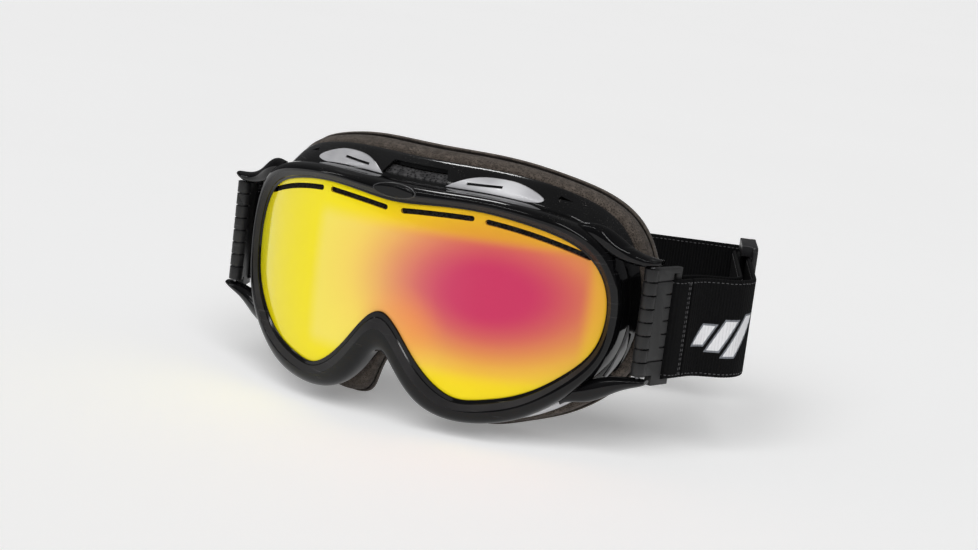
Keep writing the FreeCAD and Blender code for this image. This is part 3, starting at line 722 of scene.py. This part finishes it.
def softenedCopy(node, name, width, angle=38.0, segments=3, flatten=0.6):
    mesh = nodes[node].data.copy()
    mesh.name = name
    made = bpy.data.objects.new(name, mesh)
    bpy.context.scene.collection.objects.link(made)
    work = bmesh.new()
    work.from_mesh(mesh)
    bmesh.ops.remove_doubles(work, verts=work.verts, dist=2e-6)
    bmesh.ops.dissolve_degenerate(work, edges=work.edges, dist=2e-6)
    bmesh.ops.dissolve_limit(work, angle_limit=math.radians(flatten), verts=work.verts, edges=work.edges)
    work.to_mesh(mesh)
    work.free()
    bevel = made.modifiers.new("edge", "BEVEL")
    bevel.width = width * mm
    bevel.segments = segments
    bevel.limit_method = "ANGLE"
    bevel.angle_limit = math.radians(angle)
    bevel.use_clamp_overlap = True
    bevel.harden_normals = False
    bakeModifiers(made)
    smoothShade(made, 50.0)
    return made


mouldedParts = {
    # CAD node: (piece, body, slot, finish, edge radius)
    "strap_clip_right": ("strapClipRight", "right_clip", "clip_satin", "clipSatin", 0.28),
    "strap_clip_left": ("strapClipLeft", "left_clip", "clip_satin", "clipSatin", 0.28),
    "slider": ("strapSlider", "slider_body", "slider_satin", "sliderSatin", 0.45),
    "brow_badge": ("browBadge", "goggle", "badge_black", "glossBlack", 0.3),
}
for node, (name, body, slot, finish, radius) in mouldedParts.items():
    piece = softenedCopy(node, name, radius)
    paint(piece, finish)
    settlePiece(piece, body, slot, node)
print("moulded parts", len(mouldedParts))


badgeRim = {"halfWidth": 9.6, "halfHeight": 2.6, "level": 27.1, "wire": 0.32, "sink": 0.05,
            "around": 120, "across": 8}


def makeBadgeRim():
    # a thin raised line round the blank badge, laid on the bezel's own surface
    work = bmesh.new()
    work.from_mesh(bezel.data)
    tree = BVHTree.FromBMesh(work)
    centres = []
    for i in range(badgeRim["around"]):
        angle = 2 * math.pi * i / badgeRim["around"]
        x = badgeRim["halfWidth"] * math.cos(angle)
        z = badgeRim["level"] + badgeRim["halfHeight"] * math.sin(angle)
        hit = tree.ray_cast(Vector((x * mm, -0.1, z * mm)), Vector((0, 1, 0)))[0]
        centres.append(np.array(hit) / mm + np.array([0, badgeRim["sink"], 0]))
    work.free()
    centres = np.array(centres)
    along = unit(np.roll(centres, -1, 0) - np.roll(centres, 1, 0))
    outward = unit(np.cross(along, np.array([0.0, 1.0, 0.0])))
    upward = np.cross(outward, along)
    points = []
    faces = []
    across = badgeRim["across"]
    for i in range(badgeRim["around"]):
        for j in range(across):
            angle = 2 * math.pi * j / across
            spoke = math.cos(angle) * outward[i] + math.sin(angle) * upward[i]
            points.append(centres[i] + badgeRim["wire"] * spoke)
            ahead = (i + 1) % badgeRim["around"]
            beside = (j + 1) % across
            faces.append(stripFace(i, ahead, j, beside, across))
    made = meshObject("badgeRim", np.array(points) * mm, faces, ["trimDark"])
    faceOutwards(made)
    smoothShade(made, 60.0)
    return made


settlePiece(makeBadgeRim(), "goggle", "badge_black")


carriedFinishes = {
    "frame_rear": "rearFrame", "outer_lens": "mirrorLens", "inner_lens": "innerLensClear",
    "lens_gasket": "gasketFoam", "lens_slot_foam": "slotFoam", "brow_vent_foam": "ventFoam",
}
pairedFinishes = {
    "side_vent_foam": "ventFoam", "cheek_vent_foam": "ventFoam", "top_vent_trim": "trimSilver",
    "bottom_vent_trim": "trimSilver", "side_vent_fin": "finGrey", "upper_arm": "glossBlack",
    "lower_arm": "glossBlack", "clip_pin": "pinSteel",
}
for node, finish in pairedFinishes.items():
    for side in ("right", "left"):
        carriedFinishes[node + "_" + side] = finish
for node, finish in carriedFinishes.items():
    paint(nodes[node], finish)
print("carried-over parts", len(carriedFinishes))


padShape = {
    "foam": [
        (22.4, {"flange": 0.95, "mouth": 0.05}, 1),
        (23.4, {"flange": 0.3, "foam": 0.7}, 1),
        (28.0, {"foam": 1.06, "mouth": -0.06}, 1),
        (33.4, {"foam": 1.0}, 1),
        (36.2, {"foam": 0.66, "mouth": 0.34}, 1),
        (35.0, {"foam": 0.2, "mouth": 0.8}, 1),
        (28.5, {"foam": -0.04, "mouth": 1.04}, 1),
        (23.6, {"flange": 0.08, "mouth": 0.92}, 1),
        (22.4, {"flange": 0.4, "mouth": 0.6}, 1),
    ],
    "fleece": [
        (31.4, {"foam": 1.05, "mouth": -0.05}, 1),
        (33.65, {"foam": 1.02, "mouth": -0.02}, 1),
        (36.45, {"foam": 0.66, "mouth": 0.34}, 1),
        (35.25, {"foam": 0.18, "mouth": 0.82}, 1),
        (30.4, {"foam": -0.04, "mouth": 1.04}, 1),
        (31.2, {"foam": -0.1, "mouth": 1.1}, 1),
        (37.25, {"foam": 0.1, "mouth": 0.9}, 1),
        (38.45, {"foam": 0.7, "mouth": 0.3}, 1),
        (35.65, {"foam": 1.1, "mouth": -0.1}, 1),
        (32.0, {"foam": 1.12, "mouth": -0.12}, 1),
    ],
    "pressure": 4.0, "frames": 20, "cap": 1.0, "heldTo": 22.6, "freeFrom": 27.0,
}


def inflatePad(piece, spec):
    # foam that presses out against its own skin, held close to its moulded shape and held still at the frame
    count = len(piece.data.vertices)
    rest = np.zeros(count * 3)
    piece.data.vertices.foreach_get("co", rest)
    rest = rest.reshape(-1, 3)
    cloth = piece.modifiers.new("cloth", "CLOTH")
    cloth.settings.quality = 6
    cloth.settings.use_pressure = True
    cloth.settings.uniform_pressure_force = spec["pressure"]
    cloth.settings.effector_weights.gravity = 0.0
    for step in range(1, spec["frames"] + 1):
        bpy.context.scene.frame_set(step)
    bakeModifiers(piece)
    now = np.zeros(count * 3)
    piece.data.vertices.foreach_get("co", now)
    move = now.reshape(-1, 3) - rest
    length = np.linalg.norm(move, axis=1)
    behind = rest[:, 1] / mm + seatDepth - lensDepth(rest[:, 0] / mm, rest[:, 2] / mm)
    free = np.clip((behind - spec["heldTo"]) / (spec["freeFrom"] - spec["heldTo"]), 0, 1)
    limit = np.minimum(1.0, free * spec["cap"] * mm / np.maximum(length, 1e-9))
    piece.data.vertices.foreach_set("co", (rest + move * limit[:, None]).reshape(-1))
    smoother = piece.modifiers.new("subdivide", "SUBSURF")
    smoother.levels = smoother.render_levels = 1
    bakeModifiers(piece)
    bpy.context.scene.frame_set(1)


foamPad = ringObject("foamPad", padShape["foam"], ["padFoam"], count=216, perSpan=4)
inflatePad(foamPad, padShape)
smoothShade(foamPad, 80.0)
fleeceLayer = ringObject("fleeceLayer", padShape["fleece"], ["faceFleece"], count=360, perSpan=3)
settlePiece(foamPad, "goggle", "face_foam", "face_foam")
settlePiece(fleeceLayer, "goggle", "face_fleece", "face_fleece")
print("foam and fleece", len(foamPad.data.polygons), len(fleeceLayer.data.polygons))


hinge = {"x": 98.0, "y": 39.4, "angle": 17.3, "bar": 16.3, "loopEnd": 22.0, "strapStart": 22.8}
strapRoute = [  # seen from above, (x, y, corner radius), from the right clip round to the left one
    (109.6, 67.2, 12), (126.6, 81, 15), (91, 161.5, 4), (-5, 116.8, 80), (-78, 119, 40), (-106, 94, 25),
    (-109.8, 68, 12),
]


def clipPoint(along, outward):
    angle = math.radians(90 - hinge["angle"])
    return (hinge["x"] + along * math.cos(angle) + outward * math.sin(angle),
            hinge["y"] + along * math.sin(angle) - outward * math.cos(angle))


def shiftRoute(points, distance):
    # the same route a distance to the right of the way it runs, with concentric corners
    flat = np.array([p[:2] for p in points], float)
    runs = unit(np.diff(flat, axis=0))
    shifted = []
    for i, (x, y, radius) in enumerate(points):
        before = runs[max(i - 1, 0)]
        after = runs[min(i, len(runs) - 1)]
        normal = np.array([before[1] + after[1], -before[0] - after[0]])
        moved = np.array([x, y]) + normal * distance * 2 / normal.dot(normal)
        turn = before[0] * after[1] - before[1] * after[0]
        grown = radius + distance * math.copysign(1, turn) if radius else 0
        shifted.append((moved[0], moved[1], grown))
    return shifted


def alongLine(line):
    # the length walked at each point
    return np.concatenate([[0], np.cumsum(np.linalg.norm(np.diff(line, axis=0), axis=1))])


def walkRoute(points, step):
    # even stations along straight runs and tangent arcs: places, directions and lengths
    places = []
    at = np.array(points[0][:2], float)
    for i in range(1, len(points)):
        corner = np.array(points[i][:2], float)
        ahead = corner - at
        if i == len(points) - 1:
            places += [at, corner]
            break
        radius = points[i][2]
        inRun = unit(ahead)
        outRun = unit(np.array(points[i + 1][:2], float) - corner)
        turn = math.atan2(inRun[0] * outRun[1] - inRun[1] * outRun[0], inRun.dot(outRun))
        reach = radius * math.tan(abs(turn) / 2)
        first = corner - inRun * reach
        side = np.array([-inRun[1], inRun[0]]) * math.copysign(1, turn)
        centre = first + side * radius
        places += [at, first]
        slices = max(4, int(abs(turn) * radius / 0.5))
        for k in range(1, slices):
            angle = turn * k / slices
            arm = -side * radius
            places.append(centre + np.array([arm[0] * math.cos(angle) - arm[1] * math.sin(angle),
                                             arm[0] * math.sin(angle) + arm[1] * math.cos(angle)]))
        at = corner + outRun * reach
    places = np.array(places)
    keep = np.concatenate([[True], np.linalg.norm(np.diff(places, axis=0), axis=1) > 1e-6])
    places = places[keep]
    lengths = alongLine(places)
    count = int(round(lengths[-1] / step))
    even = np.linspace(0, lengths[-1], count + 1)
    line = np.stack([np.interp(even, lengths, places[:, 0]), np.interp(even, lengths, places[:, 1])], 1)
    return line, unit(np.gradient(line, axis=0)), even


def bandSection(half, bottom, top):
    # offsets across the band's thickness and heights, round its section
    edge = [(0.0, 0.0), (0.1, 0.5), (0.35, 0.84), (0.8, 1.0)]
    side = [(bottom + inset, half * share) for inset, share in edge]
    inner = np.linspace(bottom + 3.0, top - 3.0, 9)
    side += [(level, half) for level in inner]
    side += [(top - inset, half * share) for inset, share in reversed(edge)]
    other = [(level, -offset) for level, offset in reversed(side[1:-1])]
    return side + other


def bandMesh(name, line, direction, lengths, material):
    half = webbing["thickness"] / 2
    section = bandSection(half, webbing["bottom"], webbing["top"])
    across = len(section)
    normal = np.stack([direction[:, 1], -direction[:, 0]], 1)
    points = []
    for place, out in zip(line, normal):
        for level, offset in section:
            points.append((place[0] + out[0] * offset, place[1] + out[1] * offset - seatDepth, level))
    faces = []
    for i in range(len(line) - 1):
        for j in range(across):
            beside = (j + 1) % across
            faces.append(stripFace(i, i + 1, j, beside, across))
    last = (len(line) - 1) * across
    faces.append(tuple(range(across)))
    faces.append(tuple(last + j for j in reversed(range(across))))
    made = meshObject(name, np.array(points) * mm, faces, [material, "stitchThread"])
    layer = made.data.uv_layers.new(name="bandMap")
    stations = np.repeat(lengths, across)
    levels = np.tile([level for level, offset in section], len(line))
    for loop in made.data.loops:
        layer.data[loop.index].uv = (stations[loop.vertex_index] * mm, levels[loop.vertex_index] * mm)
    ribs = made.data.attributes.new("ribShare", "FLOAT", "POINT")
    shares = np.tile([min(1.0, abs(offset) / half) for level, offset in section], len(line))
    wave = np.cos(2 * math.pi * stations / webbing["ribPitch"])
    ends = np.minimum(stations - lengths[0], lengths[-1] - stations)
    ribs.data.foreach_set("value", (shares * wave * (ends > webbing["step"] * 1.5)).astype(np.float32))
    return made


def finishTree(tree, shape, given, made):
    whole = addNode(tree, "GeometryNodeRealizeInstances", {"Geometry": shape.outputs[0]})
    coloured = addNode(tree, "GeometryNodeSetMaterial", {
        "Geometry": whole.outputs[0], "Material": given.outputs["Material"]})
    tree.links.new(coloured.outputs[0], made.inputs[0])


def makeRibTree():
    # raises the ribs of the weave along the band's own normals
    tree, given, made = newGroup("webbingRibs", [
        ("Geometry", "NodeSocketGeometry", None), ("Rib height", floatSocket, 0.0001),
        ("Material", "NodeSocketMaterial", None)], [("Geometry", "NodeSocketGeometry")], "GeometryNodeTree")
    share = addNode(tree, "GeometryNodeInputNamedAttribute", {"Name": "ribShare"}, data_type="FLOAT")
    height = times(tree, share.outputs["Attribute"], given.outputs["Rib height"])
    normal = addNode(tree, "GeometryNodeInputNormal")
    offset = addNode(tree, "ShaderNodeVectorMath", {0: normal.outputs[0]}, operation="SCALE")
    tree.links.new(height, offset.inputs["Scale"])
    raised = addNode(tree, "GeometryNodeSetPosition", {
        "Geometry": given.outputs["Geometry"], "Offset": offset.outputs[0]})
    finishTree(tree, raised, given, made)
    return tree


def makeStitchTree():
    # short round-ended threads lying along a row
    tree, given, made = newGroup("stitchRows", [
        ("Geometry", "NodeSocketGeometry", None), ("Spacing", floatSocket, 0.0018),
        ("Length", floatSocket, 0.0012), ("Thickness", floatSocket, 0.0003),
        ("Wander", floatSocket, 0.00012), ("Seed", "NodeSocketInt", 3),
        ("Material", "NodeSocketMaterial", None)], [("Geometry", "NodeSocketGeometry")], "GeometryNodeTree")
    points = addNode(tree, "GeometryNodeCurveToPoints", {
        "Curve": given.outputs["Geometry"], "Length": given.outputs["Spacing"]}, mode="LENGTH")
    drift = addNode(tree, "FunctionNodeRandomValue", {"Seed": given.outputs["Seed"]},
                    data_type="FLOAT_VECTOR")
    low = addNode(tree, "ShaderNodeCombineXYZ", {"Z": times(tree, given.outputs["Wander"], -1.0)})
    high = addNode(tree, "ShaderNodeCombineXYZ", {"Z": given.outputs["Wander"]})
    tree.links.new(low.outputs[0], drift.inputs[0])
    tree.links.new(high.outputs[0], drift.inputs[1])
    moved = addNode(tree, "GeometryNodeSetPosition", {"Geometry": points.outputs["Points"]})
    tree.links.new(drift.outputs[0], moved.inputs["Offset"])
    thread = addNode(tree, "GeometryNodeMeshUVSphere", {"Segments": 6, "Rings": 4, "Radius": 0.5})
    size = addNode(tree, "ShaderNodeCombineXYZ", {
        "X": given.outputs["Thickness"], "Y": given.outputs["Thickness"], "Z": given.outputs["Length"]})
    placed = addNode(tree, "GeometryNodeInstanceOnPoints", {
        "Points": moved.outputs[0], "Instance": thread.outputs[0], "Rotation": points.outputs["Rotation"],
        "Scale": size.outputs[0]})
    finishTree(tree, placed, given, made)
    return tree


def addTree(piece, tree, values):
    modifier = piece.modifiers.new(tree.name, "NODES")
    modifier.node_group = tree
    for item in tree.interface.items_tree:
        if item.item_type == "SOCKET" and item.in_out == "INPUT" and item.name in values:
            modifier[item.identifier] = values[item.name]


ribTree = makeRibTree()
stitchTree = makeStitchTree()
stitching = {"spacing": 1.9, "length": 1.35, "thickness": 0.34, "wander": 0.1, "inset": 1.5, "lift": 0.02,
             "seed": 11}


def stitchRows(name, rows):
    # rows are lists of (x, y, z), in millimetres from the face seat
    curve = bpy.data.curves.new(name, "CURVE")
    curve.dimensions = "3D"
    for row in rows:
        spline = curve.splines.new("POLY")
        spline.points.add(len(row) - 1)
        for point, (x, y, z) in zip(spline.points, row):
            point.co = (x * mm, y * mm, z * mm, 1.0)
    made = bpy.data.objects.new(name, curve)
    bpy.context.scene.collection.objects.link(made)
    addTree(made, stitchTree, {
        "Spacing": stitching["spacing"] * mm, "Length": stitching["length"] * mm,
        "Thickness": stitching["thickness"] * mm, "Wander": stitching["wander"] * mm,
        "Seed": stitching["seed"], "Material": finishes["stitchThread"]})
    graph = bpy.context.evaluated_depsgraph_get()
    mesh = bpy.data.meshes.new_from_object(made.evaluated_get(graph))
    bpy.data.objects.remove(made)
    rowsObject = bpy.data.objects.new(name, mesh)
    bpy.context.scene.collection.objects.link(rowsObject)
    return rowsObject


def joinPieces(main, *others):
    for piece in bpy.context.scene.objects:
        piece.select_set(piece == main or piece in others)
    bpy.context.view_layer.objects.active = main
    bpy.ops.object.join()
    return main


def edgeRows(line, direction, sides=(1, -1)):
    # stitch rows near both edges, on the faces named
    normal = np.stack([direction[:, 1], -direction[:, 0]], 1)
    rows = []
    for side in sides:
        for level in (webbing["top"] - stitching["inset"], webbing["bottom"] + stitching["inset"]):
            offset = side * (webbing["thickness"] / 2 + stitching["lift"])
            rows.append([(p[0] + n[0] * offset, p[1] + n[1] * offset - seatDepth, level)
                         for p, n in zip(line, normal)][2:-2:3])
    return rows


def strapPiece(name, line, direction, lengths, material, extraRows=()):
    band = bandMesh(name, line, direction, lengths, material)
    addTree(band, ribTree, {"Rib height": webbing["ribHeight"] * mm, "Material": finishes[material]})
    bakeModifiers(band)
    rows = edgeRows(line, direction) + list(extraRows)
    stitches = stitchRows(name + "Stitches", rows)
    joinPieces(band, stitches)
    smoothShade(band, 60.0)
    return band


def routeSpan(route, low, high):
    line, direction, lengths = route
    keep = (lengths >= low - 1e-6) & (lengths <= high + 1e-6)
    return line[keep], direction[keep], lengths[keep]


start = clipPoint(hinge["strapStart"], webbing["layerHalfGap"])
wholeRoute = [start + (0,)] + strapRoute + [(-start[0], start[1], 0)]
mainRoute = walkRoute(wholeRoute, webbing["step"])
mainLength = mainRoute[2][-1]
flexLength = {"clip": 27.0, "return": 26.0}  # how much strap next to a clip is made as a piece of its own
stationStep = mainRoute[2][1]
nearCut = round(flexLength["clip"] / stationStep) * stationStep
farCut = mainLength - nearCut


strapNear = strapPiece("strapNear", *routeSpan(mainRoute, 0, nearCut), "strapWebbingPrinted")
strapBand = strapPiece("strapBand", *routeSpan(mainRoute, nearCut, farCut), "strapWebbingPrinted")
strapFar = strapPiece("strapFar", *routeSpan(mainRoute, farCut, mainLength), "strapWebbing")
print("strap", round(mainLength, 1), "mm")

for piece in (strapNear, strapBand, strapFar):
    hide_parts("strap_main")
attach(strapBand, "goggle")
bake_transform(strapNear)
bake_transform(strapFar)

sliderFromCorner = 21.0  # how far before the strap's corner the slider's middle lies
bend = np.array(strapRoute[1][:2], float)
corner = np.array(strapRoute[2][:2], float)
back = unit(corner - bend)
sliderMiddle = corner - back * sliderFromCorner
innerRoute = shiftRoute(wholeRoute[:4], -2 * webbing["layerHalfGap"])
innerBend = np.array(innerRoute[2][:2], float)
innerEnd = innerBend + back * np.linalg.norm(sliderMiddle - bend)
returnRoute = walkRoute(innerRoute[:3] + [(innerEnd[0], innerEnd[1], 0)], webbing["step"])
returnLength = returnRoute[2][-1]
returnStep = returnRoute[2][1]
returnCut = round(flexLength["return"] / returnStep) * returnStep
returnNear = strapPiece("strapReturnNear", *routeSpan(returnRoute, 0, returnCut), "strapWebbing")
returnFar = strapPiece("strapReturnFar", *routeSpan(returnRoute, returnCut, returnLength), "strapWebbing")
for piece in (returnNear, returnFar):
    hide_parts("strap_return")
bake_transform(returnNear)
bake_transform(returnFar)


sewnLoop = {"flatStations": 17, "bendStations": 26, "stitchesAt": (20.2, 21.2), "stitchInset": 2.0}


def loopPiece(name, side):
    # the short sewn loop that turns with its clip
    gap = webbing["layerHalfGap"]
    bar = hinge["bar"]
    steps = sewnLoop["bendStations"]
    along = np.linspace(bar, hinge["loopEnd"], sewnLoop["flatStations"])
    flat = [(place, gap) for place in reversed(along)]
    flat += [(bar - gap * math.sin(math.pi * k / steps), gap * math.cos(math.pi * k / steps))
             for k in range(1, steps)]
    flat += [(place, -gap) for place in along]
    line = np.array([clipPoint(along, out) for along, out in flat])
    line[:, 0] *= side
    lengths = alongLine(line)
    rows = []
    surface = gap + webbing["thickness"] / 2 + stitching["lift"]
    inset = sewnLoop["stitchInset"]
    levels = np.linspace(webbing["bottom"] + inset, webbing["top"] - inset, 20)
    for along in sewnLoop["stitchesAt"]:
        for outward in (surface, -surface):
            x, y = clipPoint(along, outward)
            rows.append([(side * x, y - seatDepth, level) for level in levels])
    made = strapPiece(name, line, unit(np.gradient(line, axis=0)), lengths, "strapWebbing", rows)
    faceOutwards(made)
    return made


for name, side, body, node in (("strapLoopRight", 1, "right_clip", "strap_loop_right"),
                               ("strapLoopLeft", -1, "left_clip", "strap_loop_left")):
    settlePiece(loopPiece(name, side), body, "strap_webbing", node)
sewnEnd = softenedCopy("strap_sewn_end", "strapSewnEnd", 0.2)
paint(sewnEnd, "strapWebbing")
settlePiece(sewnEnd, "slider_body", "strap_webbing", "strap_sewn_end")
print("webbing done")


stage = {"below": 0.5, "reach": 8.0, "glow": 0.24, "dark": (0.9, 0.9, 0.9, 1), "light": (0.93, 0.93, 0.93, 1)}


def makeStage():
    floorLevel = cadBox[0][2] - stage["below"] * mm
    reach = stage["reach"]
    corners = [(-reach, -reach), (reach, -reach), (reach, reach), (-reach, reach)]
    floor = meshObject("paleFloor", [(x, y, floorLevel) for x, y in corners], [(0, 1, 2, 3)], [])
    material, tree, shader = startMaterial("floorPaper", {
        "Specular IOR Level": 0.1, "Emission Color": (1, 1, 1, 1), "Emission Strength": stage["glow"],
        "Roughness": 0.9})
    place = objectPlace(tree)
    mottled = noise(tree, place, 3.0, 2.0)
    tree.links.new(blendColour(tree, mottled, stage["dark"], stage["light"]), shader.inputs["Base Color"])
    floor.data.materials.append(material)


lighting = {
    "dim": (0.1, 0.1, 0.103, 1), "bright": (0.2, 0.2, 0.2, 1), "backdrop": (0.93, 0.93, 0.935, 1),
    "skyFrom": (0.2, 0.9),
    "sun": {"energy": 2.2, "angle": 60.0, "tilt": (44.0, 0.0, 14.0)},
    "softboxes": [
        # place, aim, width, height, power
        ((-0.05, -0.42, 0.75), (0, 0, 0), 0.9, 0.018, 0.8),
        ((0.62, -0.4, 0.38), (0.05, 0, 0), 0.02, 0.5, 0.45),
        ((-0.27, 0.33, 0.85), (0.02, 0, 0), 0.34, 0.15, 2.6),
        ((-0.7, -0.3, 0.3), (-0.05, 0, 0), 0.02, 0.4, 0.25),
    ],
}


def makeLights():
    world = bpy.data.worlds.new("studioWorld")
    world.use_nodes = True
    tree = world.node_tree
    background = tree.nodes["Background"]
    direction = addNode(tree, "ShaderNodeTexCoord").outputs["Generated"]
    height = axes(tree, direction)["Z"]
    shade = blendColour(tree, fade(tree, height, *lighting["skyFrom"]), lighting["dim"], lighting["bright"])
    seen = addNode(tree, "ShaderNodeLightPath").outputs["Is Camera Ray"]
    tree.links.new(blendColour(tree, seen, shade, lighting["backdrop"]), background.inputs["Color"])
    background.inputs["Strength"].default_value = 1.0
    bpy.context.scene.world = world
    sun = bpy.data.lights.new("softSun", "SUN")
    sun.energy = lighting["sun"]["energy"]
    sun.angle = math.radians(lighting["sun"]["angle"])
    sunObject = bpy.data.objects.new("softSun", sun)
    sunObject.rotation_euler = [math.radians(value) for value in lighting["sun"]["tilt"]]
    bpy.context.scene.collection.objects.link(sunObject)
    sunObject.visible_glossy = False  # it fills shadows without a disc in the gloss
    for i, (place, aim, width, height, power) in enumerate(lighting["softboxes"]):
        light = bpy.data.lights.new("softbox%d" % i, "AREA")
        light.shape = "RECTANGLE"
        light.size = width
        light.size_y = height
        light.energy = power
        box = bpy.data.objects.new("softbox%d" % i, light)
        box.location = place
        box.rotation_euler = (Vector(place) - Vector(aim)).to_track_quat("Z", "Y").to_euler()
        bpy.context.scene.collection.objects.link(box)
        box.visible_diffuse = False  # it only makes highlights


camera = {"azimuth": 27.0, "elevation": 11.0, "roll": 7.16, "distance": 0.799, "across": -0.04095,
          "up": 0.00712, "lens": 73.55}


def makeCamera():
    turn, lift, roll = [math.radians(camera[key]) for key in ("azimuth", "elevation", "roll")]
    behind = Vector((math.sin(turn) * math.cos(lift), -math.cos(turn) * math.cos(lift), math.sin(lift)))
    level = Vector((math.cos(turn), math.sin(turn), 0))
    upright = behind.cross(level)
    right = level * math.cos(roll) + upright * math.sin(roll)
    up = upright * math.cos(roll) - level * math.sin(roll)
    place = behind * camera["distance"] - right * camera["across"] - up * camera["up"]
    place.y -= seatDepth * mm
    data = bpy.data.cameras.new("viewCamera")
    data.lens = camera["lens"]
    data.sensor_width = 36.0
    data.clip_start = 0.01
    made = bpy.data.objects.new("viewCamera", data)
    made.matrix_world = Matrix((
        (right.x, up.x, behind.x, place.x), (right.y, up.y, behind.y, place.y),
        (right.z, up.z, behind.z, place.z), (0, 0, 0, 1)))
    bpy.context.scene.collection.objects.link(made)
    bpy.context.scene.camera = made


makeStage()
makeLights()
makeCamera()
bpy.context.scene.view_settings.view_transform = "Standard"
print("stage, lights and camera ready")
